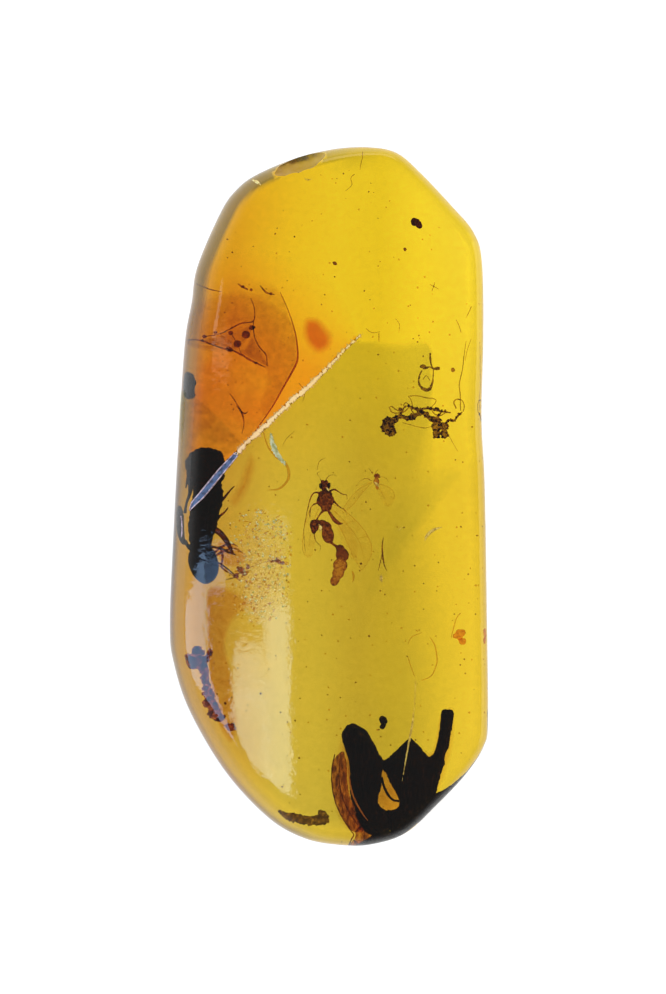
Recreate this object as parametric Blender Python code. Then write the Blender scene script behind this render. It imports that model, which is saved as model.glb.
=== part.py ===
"""A polished oblong of clear amber, 28 mm long, with insects and plant scraps sealed inside.

The stone lies on its flat back with its front face up: X across, Y along, Z up, and the origin
under its middle on the surface that it lies on. It is parted at PARTING_HEIGHT into a front and
a back, so that each thing sealed in it is a solid of its own, in a pocket that opens there.
"""

import math

import bmesh
import bpy
from mathutils import Vector

MM = 0.001

# The stone, in millimetres like every size below
STONE_LENGTH = 28.0
STONE_WIDTH = 12.8
STONE_THICKNESS = 7.0
PARTING_HEIGHT = 4.2
PARTING_GAP = 0.25

# The rim seen from the front, as shares of half the width and half the length, clockwise
# from the top. The right side is straight between two cut corners, and the left side leans.
RIM = (
    (0.02, 0.994), (0.24, 1.000), (0.424, 0.984), (0.574, 0.927), (0.78, 0.827),
    (0.91, 0.755), (0.962, 0.670), (0.970, 0.460), (0.958, 0.225), (0.978, 0.030),
    (0.992, -0.340), (0.999, -0.640), (0.974, -0.715), (0.866, -0.793), (0.685, -0.882),
    (0.483, -0.966), (0.260, -0.999), (0.060, -1.000), (-0.158, -0.981), (-0.383, -0.922),
    (-0.650, -0.791), (-0.872, -0.620), (-0.973, -0.484), (-1.000, -0.370), (-0.976, -0.100),
    (-0.943, 0.180), (-0.905, 0.440), (-0.862, 0.557), (-0.826, 0.660), (-0.680, 0.815),
    (-0.584, 0.878), (-0.460, 0.921), (-0.220, 0.967),
)
RIM_STEPS = 70
SPLINE_STEPS = 12

# How the rim rolls over into the front and back faces: wide on the left side, tight elsewhere
FRONT_ROLL_LEFT = 1.15
FRONT_ROLL_RIGHT = 0.38
BACK_ROLL_LEFT = 1.25
BACK_ROLL_RIGHT = 0.80
ROLL_DEPTH = 1.5  # times its width
ROLL_ANGLES = (0.0, 28.0, 52.0, 73.0, 90.0)

# The front is a low dome: bent across with its crest right of the middle, nearly flat along
CREST_X = 2.0
DOME_RADIUS_LEFT = 24.0
DOME_RADIUS_RIGHT = 60.0
DOME_RADIUS_ALONG = 100.0
FRONT_RINGS = (0.76, 0.50, 0.24)

# The old crack that reaches the front as a groove, as x, y and the groove's half width
CRACK = (
    (1.30, 6.45, 0.07), (0.45, 5.65, 0.10), (-0.45, 4.75, 0.15), (-1.45, 3.90, 0.19),
    (-2.60, 2.80, 0.22), (-3.55, 1.80, 0.26), (-4.35, 0.85, 0.30), (-5.05, -0.10, 0.34),
)

# The unpolished chip off the rim at the upper left: its middle, its size and its turn in degrees
CHIP_CENTRE = (-1.05, 13.95, 6.85)
CHIP_SIZE = (3.0, 1.3, 1.1)
CHIP_TURN = (38.0, -4.0, 15.0)

# The depths that the sealed things lie at
WASP_HEIGHT = 4.7
MIDGE_HEIGHT = 4.8
BEETLE_HEIGHT = 4.7
BARK_HEIGHT = 4.0
ARCH_HEIGHT = 4.9
WEB_HEIGHT = 4.6
SCRAP_HEIGHT = 4.3

WING_THICKNESS = 0.06
LIMB_BEVEL = 1  # six sides round a leg or a strand
BARK_BEVEL = 3  # ten sides round a bark limb


def mm(*values):
    """A point or a size in metres, from millimetres."""
    return Vector(values) * MM


# --- The scene, its collections and materials ---


def clear_scene():
    for thing in list(bpy.data.objects):
        bpy.data.objects.remove(thing)


def new_collection(name, shown):
    made = bpy.data.collections.new(name)
    bpy.context.scene.collection.children.link(made)
    made.hide_render = not shown
    return made


def new_material(name, colour, roughness, see_through=0.0):
    material = bpy.data.materials.new(name)
    material.use_nodes = True
    shader = material.node_tree.nodes["Principled BSDF"]
    shader.inputs["Base Color"].default_value = (*colour, 1.0)
    shader.inputs["Roughness"].default_value = roughness
    shader.inputs["Metallic"].default_value = 0.0
    shader.inputs["Transmission Weight"].default_value = see_through
    material.diffuse_color = (*colour, 1.0)
    return material


def take(thing, collection):
    """Puts an object in one collection only."""
    for other in list(thing.users_collection):
        other.objects.unlink(thing)
    collection.objects.link(thing)
    return thing


def as_tool(thing):
    """A cutter, or a shape that another is joined with: kept out of the finished object."""
    thing.hide_render = True
    thing.display_type = "WIRE"
    return take(thing, tools)


def shade(thing, sharp_degrees=40.0):
    thing.data.shade_smooth()
    thing.data.set_sharp_from_angle(angle=math.radians(sharp_degrees))


def boolean(thing, other, operation):
    modifier = thing.modifiers.new(f"{operation.lower()} {other.name}", "BOOLEAN")
    modifier.operation = operation
    modifier.solver = "EXACT"
    modifier.object = other


# --- The shapes that the sealed things are made of ---


def new_curve(name, dimensions, points, cyclic):
    """A curve of straight runs through the points, whose fourth number is the radius."""
    curve = bpy.data.curves.new(name, "CURVE")
    curve.dimensions = dimensions
    spline = curve.splines.new("POLY")
    spline.points.add(len(points) - 1)
    for knot, (x, y, z, radius) in zip(spline.points, points):
        knot.co = (*mm(x, y, z), 1.0)
        knot.radius = radius
    spline.use_cyclic_u = cyclic
    made = bpy.data.objects.new(name, curve)
    bpy.context.scene.collection.objects.link(made)
    return made


def mesh_of_curve(curve_object):
    """The curve's closed mesh, with its caps welded on, in place of the curve."""
    bpy.context.view_layer.update()
    graph = bpy.context.evaluated_depsgraph_get()
    mesh = bpy.data.meshes.new_from_object(curve_object.evaluated_get(graph))
    shape = bmesh.new()
    shape.from_mesh(mesh)
    bmesh.ops.remove_doubles(shape, verts=shape.verts, dist=0.001 * MM)
    bmesh.ops.recalc_face_normals(shape, faces=shape.faces)
    shape.to_mesh(mesh)
    shape.free()
    made = bpy.data.objects.new(curve_object.name, mesh)
    made.matrix_world = curve_object.matrix_world.copy()
    bpy.data.objects.remove(curve_object)
    bpy.context.scene.collection.objects.link(made)
    return made


def limb(name, points, bevel=LIMB_BEVEL):
    """A leg, strand or branch: a round tube through points of x, y, z and radius."""
    made = new_curve(name, "3D", points, cyclic=False)
    made.data.bevel_depth = MM
    made.data.bevel_resolution = bevel
    made.data.use_fill_caps = True
    return mesh_of_curve(made)


def plate(name, outline, low, high):
    """A flat thing, or a cutter: the outline's shape between two heights."""
    made = new_curve(name, "2D", [(x, y, 0.0, 1.0) for x, y in outline], cyclic=True)
    made.data.fill_mode = "BOTH"
    made.data.extrude = (high - low) / 2 * MM
    made.location = mm(0.0, 0.0, (low + high) / 2)
    return mesh_of_curve(made)


def wing(name, outline, height):
    return plate(name, outline, height, height + WING_THICKNESS)


def bead(name, centre, size, turn=0.0, segments=10, rings=6):
    """An ellipsoid with its size along X, Y and Z, turned about Z by an angle in degrees."""
    bpy.ops.mesh.primitive_uv_sphere_add(segments=segments, ring_count=rings, radius=0.5)
    made = bpy.context.object
    made.name = name
    for vertex in made.data.vertices:
        vertex.co = Vector(a * b for a, b in zip(vertex.co, mm(*size)))
    made.rotation_euler.z = math.radians(turn)
    made.location = mm(*centre)
    return made


def fused(name, pieces, material):
    """The pieces as one solid: the first takes the node's name, and is joined with the rest."""
    first, *others = pieces
    for i, other in enumerate(others, 1):
        other.name = f"{name} part {i}"
        boolean(first, as_tool(other), "UNION")
    first.name = name
    take(first, insect_in_amber)
    first.data.materials.clear()
    first.data.materials.append(material)
    shade(first)
    return first


# --- The stone ---


def rim_points():
    """Evenly spaced points on the smooth closed curve through RIM."""
    corners = [mm(x * STONE_WIDTH / 2, y * STONE_LENGTH / 2) for x, y in RIM]
    count = len(corners)
    fine = []
    for i in range(count):
        before, start, end, after = (corners[(i + k) % count] for k in (-1, 0, 1, 2))
        for j in range(SPLINE_STEPS):
            t = j / SPLINE_STEPS
            fine.append(
                start
                + (end - before) * 0.5 * t
                + (before - 2.5 * start + 2 * end - 0.5 * after) * t**2
                + (1.5 * (start - end) + 0.5 * (after - before)) * t**3
            )
    lengths = [(fine[(i + 1) % len(fine)] - p).length for i, p in enumerate(fine)]
    step = sum(lengths) / RIM_STEPS
    points, walked, i = [], 0.0, 0
    for k in range(RIM_STEPS):
        while walked + lengths[i] < k * step:
            walked += lengths[i]
            i += 1
        share = (k * step - walked) / lengths[i]
        points.append(fine[i].lerp(fine[(i + 1) % len(fine)], share))
    return points


def inward_normals(points):
    """The direction into the stone at each rim point."""
    normals = []
    for i in range(len(points)):
        along = points[(i + 1) % len(points)] - points[i - 1]
        normals.append(Vector((along.y, -along.x)).normalized())
    return normals


def roll_width(inward, left, right):
    """How wide the rim rolls over: left where the rim faces left, right where it faces right."""
    leftness = max(0.0, inward.x + 0.15) / 1.15
    return (right + (left - right) * leftness) * MM


def front_height(point):
    """The height of the domed front face over a point of the plan."""
    across = point.x - CREST_X * MM
    radius = (DOME_RADIUS_LEFT if across < 0 else DOME_RADIUS_RIGHT) * MM
    drop = across**2 / (2 * radius) + point.y**2 / (2 * DOME_RADIUS_ALONG * MM)
    return STONE_THICKNESS * MM - drop


def stone_rings():
    """Rings of points from the edge of the flat back, round the rim, to the front's middle."""
    points = rim_points()
    inward = inward_normals(points)
    rings = []
    for angle in reversed(ROLL_ANGLES):
        ring = []
        for p, n in zip(points, inward):
            width = roll_width(n, BACK_ROLL_LEFT, BACK_ROLL_RIGHT)
            inset = width * (1 - math.cos(math.radians(angle)))
            height = ROLL_DEPTH * width * (1 - math.sin(math.radians(angle)))
            ring.append((*(p + n * inset), height))
        rings.append(ring)
    widths = [roll_width(n, FRONT_ROLL_LEFT, FRONT_ROLL_RIGHT) for n in inward]
    edge = [p + n * width for p, n, width in zip(points, inward, widths)]
    for angle in ROLL_ANGLES:
        ring = []
        for p, n, width, e in zip(points, inward, widths, edge):
            inset = width * (1 - math.cos(math.radians(angle)))
            below = ROLL_DEPTH * width * (1 - math.sin(math.radians(angle)))
            ring.append((*(p + n * inset), front_height(e) - below))
        rings.append(ring)
    for share in FRONT_RINGS:
        rings.append([(*(p * share), front_height(p * share)) for p in edge])
    return rings


def stone_mesh():
    """The whole stone as one closed shell: a flat back, the rolled rim and the domed front."""
    shape = bmesh.new()
    rings = [[shape.verts.new(co) for co in ring] for ring in stone_rings()]
    for lower, upper in zip(rings, rings[1:]):
        for i in range(RIM_STEPS):
            j = (i + 1) % RIM_STEPS
            shape.faces.new((lower[j], lower[i], upper[i], upper[j]))
    shape.faces.new(rings[0])
    middle = shape.verts.new((0.0, 0.0, front_height(Vector((0.0, 0.0)))))
    for i in range(RIM_STEPS):
        shape.faces.new((rings[-1][(i + 1) % RIM_STEPS], rings[-1][i], middle))
    bmesh.ops.recalc_face_normals(shape, faces=shape.faces)
    mesh = bpy.data.meshes.new("stone")
    shape.to_mesh(mesh)
    shape.free()
    return mesh


def crack_cutter():
    """The groove where the crack meets the front: a square bar with one edge down, that widens."""
    points = [(x, y, front_height(mm(x, y)) / MM, radius) for x, y, radius in CRACK]
    return as_tool(limb("crack groove", points, bevel=0))


def chip_cutter():
    bpy.ops.mesh.primitive_cube_add(size=1.0)
    cutter = bpy.context.object
    cutter.name = "chip"
    for vertex in cutter.data.vertices:
        vertex.co = Vector(a * b for a, b in zip(vertex.co, mm(*CHIP_SIZE)))
    cutter.rotation_euler = [math.radians(angle) for angle in CHIP_TURN]
    cutter.location = mm(*CHIP_CENTRE)
    return as_tool(cutter)


def half_cutter(name, low, high):
    """A block wider and longer than the stone, that takes away its other half."""
    x, y = STONE_WIDTH * 0.6, STONE_LENGTH * 0.6
    return as_tool(plate(name, ((-x, -y), (x, -y), (x, y), (-x, y)), low, high))


def make_amber(pockets):
    material = new_material("clear amber", (0.95, 0.66, 0.08), 0.05, see_through=0.9)
    whole = stone_mesh()
    below = half_cutter("below the parting", -1.0, PARTING_HEIGHT + PARTING_GAP / 2)
    above = half_cutter("above the parting", PARTING_HEIGHT - PARTING_GAP / 2, STONE_THICKNESS + 1)
    front_cuts = [below, crack_cutter(), chip_cutter()]
    for name, cutters in (("amber_front", front_cuts + pockets), ("amber_back", [above] + pockets)):
        half = bpy.data.objects.new(name, whole.copy())
        insect_in_amber.objects.link(half)
        half.data.materials.append(material)
        shade(half, 30.0)
        for cutter in cutters:
            boolean(half, cutter, "DIFFERENCE")


# --- The sealed things ---


def make_winged_wasp():
    """The insect in the middle: a chain of a body with a thin waist, long legs and clear wings."""
    material = new_material("wasp cuticle", (0.16, 0.045, 0.018), 0.35)
    z = WASP_HEIGHT
    body = [
        bead("chest", (-0.07, -0.14, z), (0.66, 0.98, 0.62), turn=8, segments=12, rings=7),
        bead("head", (-0.14, 0.48, z), (0.46, 0.40, 0.40)),
        bead("left eye", (-0.30, 0.54, z), (0.18, 0.22, 0.26), turn=15, segments=8, rings=5),
        bead("right eye", (0.03, 0.56, z), (0.18, 0.22, 0.26), turn=-15, segments=8, rings=5),
        bead("node", (-0.49, -1.20, z), (0.40, 0.54, 0.40), turn=12),
        bead("bridge", (-0.24, -1.06, z), (0.46, 0.24, 0.30), turn=8, segments=8, rings=5),
        bead("first ring", (0.01, -1.48, z), (0.54, 0.92, 0.50), turn=10, segments=12),
        bead("second ring", (0.56, -2.30, z), (0.54, 0.74, 0.50), turn=22),
        bead("third ring", (0.51, -2.84, z), (0.62, 0.80, 0.54), turn=-12, segments=12),
        bead("tip", (0.32, -3.26, z), (0.46, 0.66, 0.42), turn=-24),
        limb("waist", ((-0.12, -0.50, z, 0.10), (-0.34, -0.78, z, 0.05), (-0.46, -1.02, z, 0.10))),
        limb("link", ((0.12, -1.80, z, 0.10), (0.26, -1.92, z, 0.08), (0.44, -2.10, z, 0.12))),
    ]
    legs = {
        "right fore leg": ((0.12, 0.20, z, 0.06), (0.41, 0.17, z + 0.2, 0.06),
                           (0.76, 0.03, z + 0.1, 0.04), (0.76, -0.17, z, 0.03)),
        "right mid leg": ((0.18, -0.14, z, 0.05), (0.53, -0.46, z + 0.1, 0.05),
                          (0.74, -0.57, z, 0.03), (0.80, -0.76, z - 0.1, 0.03)),
        "right hind leg": ((0.02, -0.50, z, 0.05), (0.24, -0.88, z, 0.09),
                           (0.38, -1.08, z, 0.11), (0.57, -1.12, z, 0.05)),
        "left fore leg": ((-0.30, 0.14, z, 0.06), (-0.62, -0.09, z + 0.1, 0.05),
                          (-0.82, -0.86, z, 0.03), (-0.89, -1.48, z, 0.03),
                          (-0.82, -2.28, z - 0.1, 0.025)),
        "left mid leg": ((-0.30, -0.30, z, 0.05), (-0.60, -0.42, z - 0.1, 0.04),
                         (-0.64, -0.90, z - 0.2, 0.03)),
        "left hind leg": ((-0.51, -1.40, z, 0.05), (-0.45, -1.76, z, 0.04),
                          (-0.24, -2.00, z - 0.1, 0.03), (-0.32, -2.30, z - 0.2, 0.03)),
        "left feeler": ((-0.22, 0.62, z, 0.04), (-0.36, 0.86, z + 0.1, 0.03),
                        (-0.18, 1.02, z + 0.1, 0.03)),
        "right feeler": ((-0.06, 0.62, z, 0.04), (0.10, 0.80, z + 0.1, 0.03),
                         (0.34, 0.90, z + 0.1, 0.03)),
    }
    parts = [limb(name, path) for name, path in legs.items()]
    right_wing = ((0.10, -0.20), (0.50, -0.40), (0.95, -0.78), (1.38, -1.25), (1.70, -1.86),
                  (1.70, -2.40), (1.36, -2.95), (1.02, -2.45), (0.72, -1.72), (0.34, -0.90),
                  (0.06, -0.46))
    left_wing = ((-0.28, -0.10), (-0.66, -0.46), (-0.90, -1.16), (-0.98, -1.90), (-0.86, -2.38),
                 (-0.56, -2.34), (-0.42, -1.50), (-0.26, -0.60))
    parts.append(wing("right wing", right_wing, z + 0.14))
    parts.append(wing("left wing", left_wing, z + 0.10))
    fused("winged_wasp", body + parts, material)


def make_midge():
    """The small faint fly to the right of the wasp: a thin body between two wide veils of wing."""
    material = new_material("midge", (0.34, 0.20, 0.05), 0.5)
    z = MIDGE_HEIGHT
    left_wing = ((1.74, 0.56), (1.36, 0.12), (1.10, -0.26), (1.10, -0.52), (1.32, -0.58),
                 (1.64, -0.30), (1.80, 0.20))
    right_wing = ((1.84, 0.56), (2.34, 0.42), (2.64, 0.10), (2.62, -0.24), (2.36, -0.44),
                  (2.06, -0.20), (1.90, 0.20))
    fused("midge", [
        bead("chest", (1.80, 0.50, z), (0.30, 0.42, 0.30)),
        bead("head", (1.80, 0.79, z), (0.24, 0.24, 0.22), segments=8, rings=5),
        bead("abdomen", (1.86, 0.02, z), (0.20, 0.80, 0.20), turn=4, segments=8, rings=6),
        wing("left wing", left_wing, z + 0.03),
        wing("right wing", right_wing, z + 0.02),
    ], material)


def make_black_beetle():
    """The long dark insect at the left: broad shield up, tail down, legs spread to the right."""
    material = new_material("beetle shell", (0.012, 0.009, 0.010), 0.3)
    z = BEETLE_HEIGHT
    body = [
        bead("shield", (-4.67, 1.10, z), (1.38, 1.40, 0.84), turn=-6, segments=12, rings=7),
        bead("head", (-4.64, 1.62, z), (1.04, 0.56, 0.66), segments=12, rings=7),
        bead("wing cases", (-4.77, -0.30, z), (1.24, 2.40, 0.82), turn=-4, segments=12, rings=8),
        bead("belly", (-4.91, -1.50, z), (0.94, 2.00, 0.74), turn=-8, segments=12, rings=7),
        bead("tail", (-4.83, -2.70, z), (0.96, 1.44, 0.70), turn=14, segments=12, rings=7),
    ]
    legs = {
        "right fore leg": ((-4.61, -0.56, z, 0.10), (-4.13, -0.16, z + 0.1, 0.08),
                           (-3.67, 0.36, z + 0.1, 0.04)),
        "right mid leg": ((-4.67, -1.10, z, 0.10), (-4.31, -0.76, z + 0.1, 0.07),
                          (-3.96, -0.50, z + 0.1, 0.04)),
        "right hind leg": ((-4.77, -1.30, z, 0.12), (-4.17, -1.50, z + 0.1, 0.12),
                           (-3.83, -1.86, z + 0.1, 0.10)),
        "right hind shin": ((-4.81, -2.00, z, 0.10), (-4.01, -2.30, z + 0.1, 0.06),
                            (-3.61, -2.36, z + 0.2, 0.05)),
        "tail leg": ((-4.67, -2.80, z, 0.07), (-3.97, -3.04, z, 0.05), (-3.61, -3.22, z, 0.04)),
        "left hind leg": ((-5.10, -1.00, z, 0.09), (-5.38, -1.30, z, 0.07),
                          (-5.44, -1.76, z, 0.06)),
    }
    fused("black_beetle", body + [limb(name, path) for name, path in legs.items()], material)


def make_plant_scraps():
    """The charred bark at the lower right, in two pieces that meet at its fork, and a bud scale."""
    char = new_material("black bark", (0.012, 0.010, 0.010), 0.7)
    husk = new_material("bud scale", (0.26, 0.07, 0.018), 0.45)
    z = BARK_HEIGHT
    stem = ((0.96, -9.06, z, 0.14), (1.02, -9.22, z, 0.38), (1.14, -9.64, z, 0.56),
            (1.40, -10.36, z, 0.66), (1.50, -11.10, z, 0.58), (1.56, -11.86, z, 0.50),
            (1.70, -12.42, z, 0.46), (1.92, -12.68, z, 0.41), (2.24, -12.76, z, 0.38))
    stalk = ((2.74, -12.68, z, 0.36), (3.00, -12.54, z, 0.36), (3.28, -12.16, z, 0.44),
             (3.84, -11.40, z, 0.56), (4.28, -10.50, z, 0.36), (4.54, -9.70, z, 0.25),
             (4.74, -8.62, z, 0.24))
    wedge = ((3.29, -9.78, z, 0.08), (3.30, -10.30, z, 0.40), (3.32, -11.00, z, 0.60),
             (3.30, -11.80, z, 0.56))
    fused("bark_limb", [limb("stem", stem, BARK_BEVEL)], char)
    fused("bark_fork", [limb("stalk", stalk, BARK_BEVEL), limb("wedge", wedge, BARK_BEVEL)], char)
    fused("bud_scale", [
        bead("blade", (0.42, -11.40, z + 0.5), (0.46, 2.80, 0.40), turn=3, segments=12, rings=8),
        limb("fold", ((0.46, -12.30, z + 0.4, 0.20), (0.62, -12.72, z + 0.2, 0.22),
                      (0.92, -13.04, z, 0.22), (1.40, -13.26, z, 0.10))),
    ], husk)


def make_pellet_arch():
    """The arch of frass at the right: a pellet at each foot, joined by a knobbly strand."""
    material = new_material("frass", (0.075, 0.038, 0.012), 0.8)
    z = ARCH_HEIGHT
    arch = ((2.46, 3.06, z, 0.16), (2.88, 3.20, z, 0.12), (3.26, 3.12, z, 0.13),
            (3.66, 3.34, z, 0.12), (3.94, 3.20, z, 0.12), (4.26, 3.02, z, 0.12),
            (4.70, 2.98, z, 0.10), (5.04, 3.04, z, 0.09), (5.32, 3.36, z, 0.07))
    fused("pellet_arch", [
        limb("arch", arch),
        bead("left pellet", (2.40, 2.80, z), (0.52, 0.80, 0.54), turn=-18),
        bead("right pellet", (4.52, 2.72, z), (0.58, 0.70, 0.54), turn=4),
        limb("upper strand", ((3.04, 3.18, z, 0.07), (3.10, 3.54, z, 0.07), (3.52, 3.42, z, 0.07),
                              (4.00, 3.48, z, 0.06), (4.44, 3.38, z, 0.05), (4.86, 3.32, z, 0.05),
                              (5.08, 3.10, z, 0.05))),
        limb("loop", ((3.46, 3.46, z, 0.05), (3.18, 3.88, z, 0.05), (3.62, 3.90, z, 0.04),
                      (4.26, 3.80, z, 0.05), (4.00, 3.44, z, 0.05))),
        limb("left spur", ((2.90, 3.22, z, 0.06), (2.44, 3.52, z, 0.05), (2.52, 3.16, z, 0.05))),
        limb("right hook", ((5.20, 3.26, z, 0.05), (5.00, 3.72, z, 0.04), (5.20, 3.84, z, 0.04))),
    ], material)


def make_seed_husk():
    """The small open husk over the arch: a drop-shaped loop with two bits at its shoulders."""
    material = new_material("seed husk", (0.20, 0.12, 0.02), 0.6)
    z = ARCH_HEIGHT
    loop = ((3.79, 5.10, z, 0.08), (3.66, 4.83, z, 0.05), (3.60, 4.55, z, 0.06),
            (3.68, 4.34, z, 0.08), (3.86, 4.23, z, 0.09), (4.04, 4.32, z, 0.08),
            (4.13, 4.52, z, 0.06), (4.14, 4.83, z, 0.05), (4.10, 5.06, z, 0.05))
    fused("seed_husk", [
        limb("loop", loop),
        bead("left bit", (3.78, 5.18, z), (0.32, 0.22, 0.22), turn=12, segments=8, rings=5),
        bead("right bit", (4.30, 5.12, z), (0.34, 0.18, 0.20), turn=6, segments=8, rings=5),
        limb("stem", ((3.98, 5.14, z, 0.10), (4.00, 5.36, z, 0.08), (4.04, 5.72, z, 0.05))),
        limb("bridge", ((3.76, 5.16, z, 0.07), (4.00, 5.20, z, 0.08), (4.26, 5.12, z, 0.06))),
    ], material)


def make_web_scraps():
    """The strands with dust and pellets on them in the orange part, upper left."""
    material = new_material("web dust", (0.10, 0.035, 0.022), 0.7)
    z = WEB_HEIGHT
    fused("web_scraps", [
        limb("lower strand", ((-5.10, 6.24, z, 0.07), (-4.40, 6.04, z, 0.09), (-3.86, 5.86, z, 0.11),
                              (-3.40, 5.62, z, 0.08), (-2.96, 5.36, z, 0.07),
                              (-2.50, 5.12, z, 0.05))),
        bead("large pellet", (-3.28, 6.42, z), (0.36, 0.40, 0.34), turn=-25, segments=8),
        bead("middle pellet", (-3.62, 6.06, z), (0.36, 0.34, 0.30), segments=8),
        bead("low pellet", (-3.92, 5.86, z), (0.34, 0.24, 0.24), segments=8, rings=5),
        bead("top pellet", (-3.06, 6.70, z), (0.22, 0.26, 0.22), segments=8, rings=5),
        limb("rise", ((-3.66, 5.98, z, 0.07), (-3.34, 6.30, z, 0.07), (-3.06, 6.68, z, 0.06),
                      (-3.01, 6.98, z, 0.05))),
        limb("upper strand", ((-3.01, 6.96, z, 0.05), (-3.46, 6.88, z, 0.06),
                              (-3.86, 6.62, z, 0.07), (-4.52, 6.52, z, 0.04))),
        limb("right strand", ((-3.10, 6.60, z, 0.05), (-2.80, 5.98, z, 0.04),
                              (-2.53, 5.62, z, 0.04), (-2.54, 5.14, z, 0.04))),
    ], material)


def make_small_scraps():
    """The single scraps: a flake at the left edge, a crumb string, a bark strip and three grains."""
    dark = new_material("dark scrap", (0.040, 0.020, 0.020), 0.7)
    resin = new_material("dark resin", (0.42, 0.12, 0.01), 0.3)
    z = SCRAP_HEIGHT
    fused("edge_flake", [
        bead("flake", (-5.06, 4.30, z), (0.42, 0.90, 0.36), turn=4, segments=8),
        bead("corner", (-5.06, 4.90, z), (0.28, 0.56, 0.26), turn=-12, segments=8, rings=5),
    ], dark)
    fused("crumb_string", [
        limb("string", ((-5.00, -6.30, z, 0.20), (-4.72, -7.30, z, 0.14), (-4.44, -8.10, z, 0.16),
                        (-4.06, -8.84, z, 0.12), (-3.44, -9.28, z, 0.10))),
        bead("clump", (-4.98, -6.32, z), (0.70, 0.66, 0.48)),
        bead("bulge", (-4.44, -8.10, z), (0.48, 0.82, 0.42), turn=18, segments=8),
        bead("end", (-3.42, -9.28, z), (0.32, 0.40, 0.28), segments=8, rings=5),
    ], dark)
    fused("bark_strip", [
        limb("strip", ((-1.92, -12.24, z, 0.14), (-1.30, -12.62, z, 0.18), (-0.72, -12.80, z, 0.18),
                       (-0.12, -12.88, z, 0.22))),
        bead("barb", (-0.24, -12.66, z), (0.26, 0.42, 0.24), segments=8, rings=5),
    ], dark)
    grain_outline = ((3.31, 11.00), (3.50, 11.12), (3.69, 10.98), (3.62, 10.76), (3.46, 10.86),
                     (3.32, 10.82))
    fused("square_grain", [plate("grain", grain_outline, z - 0.15, z + 0.15)], dark)
    fused("round_grain", [
        bead("grain", (2.14, -8.86, z), (0.32, 0.36, 0.28), segments=8),
        bead("heel", (2.22, -9.08, z), (0.22, 0.34, 0.22), segments=8, rings=5),
    ], dark)
    fused("resin_grain", [
        bead("grain", (5.14, -5.60, z), (0.44, 0.32, 0.28), segments=8),
        bead("heel", (5.26, -5.78, z), (0.20, 0.32, 0.22), segments=8, rings=5),
    ], resin)


# The room round the sealed things: for each pocket its low and high level and its outline.
# All of them cross the parting, so each opens there, and stay clear of the stone's skin.
POCKETS = {
    "middle": (3.90, 5.50, ((-1.32, 0.60), (-1.32, -2.70), (-0.30, -3.92), (0.80, -3.92),
                            (2.10, -3.10), (3.02, -0.80), (2.96, 0.95), (1.60, 1.34),
                            (-0.60, 1.34))),
    "beetle": (3.90, 5.32, ((-5.50, -3.20), (-4.90, -3.78), (-4.10, -3.78), (-3.20, -3.50),
                            (-3.20, 0.80), (-3.76, 1.90), (-4.40, 2.22), (-5.20, 2.14),
                            (-5.62, 1.20), (-5.74, -1.80))),
    "plants": (3.00, 5.00, ((-0.10, -10.00), (0.60, -8.60), (2.60, -8.38), (4.40, -8.20),
                            (5.26, -8.20), (5.26, -9.40), (4.90, -11.10), (4.40, -12.05),
                            (3.30, -13.06), (2.60, -13.48), (1.40, -13.62), (0.30, -13.34),
                            (-0.10, -12.30))),
    "arch": (3.95, 5.55, ((1.82, 2.20), (2.70, 2.08), (4.90, 2.05), (5.64, 2.90), (5.64, 4.10),
                          (4.86, 4.80), (4.66, 6.04), (3.60, 6.04), (3.20, 4.80), (2.04, 3.90))),
    "web": (3.80, 4.99, ((-5.50, 3.60), (-4.60, 3.50), (-2.16, 4.70), (-2.16, 6.20),
                         (-2.70, 7.34), (-4.60, 7.04), (-5.38, 6.50), (-5.46, 5.20))),
    "crumbs": (3.75, 4.85, ((-5.64, -6.10), (-5.40, -5.70), (-4.40, -5.70), (-4.06, -7.00),
                            (-3.66, -8.30), (-2.95, -8.80), (-2.95, -9.82), (-3.80, -9.78),
                            (-4.50, -9.10), (-5.10, -7.70), (-5.54, -6.80))),
    "strip": (3.80, 4.80, ((-2.40, -12.00), (-1.70, -11.86), (-0.40, -12.10), (0.18, -12.34),
                           (0.18, -13.38), (-0.60, -13.34), (-1.50, -13.10), (-2.26, -12.66))),
    "square grain": (3.85, 4.78, ((2.98, 10.48), (4.00, 10.48), (4.00, 11.42), (2.98, 11.42))),
    "resin grain": (3.85, 4.78, ((4.62, -6.24), (5.66, -6.24), (5.66, -5.14), (4.62, -5.14))),
}


clear_scene()
insect_in_amber = new_collection("insect_in_amber", shown=True)
tools = new_collection("cutters and joined shapes", shown=False)
make_winged_wasp()
make_midge()
make_black_beetle()
make_plant_scraps()
make_pellet_arch()
make_seed_husk()
make_web_scraps()
make_small_scraps()
make_amber([as_tool(plate(f"pocket {name}", outline, low, high))
            for name, (low, high, outline) in POCKETS.items()])
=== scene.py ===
"""A polished oblong of clear amber, 28 mm long, with insects and plant scraps sealed inside.

The stone lies on its flat back and is seen from above: X across, Y along, Z up. Meshes are
modelled in millimetres and become metres, in their place in the frame, when they are finished.
"""
import math
import random

import bmesh
import bpy
import numpy as np
from mathutils import Euler, Matrix, Vector, geometry, noise


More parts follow.
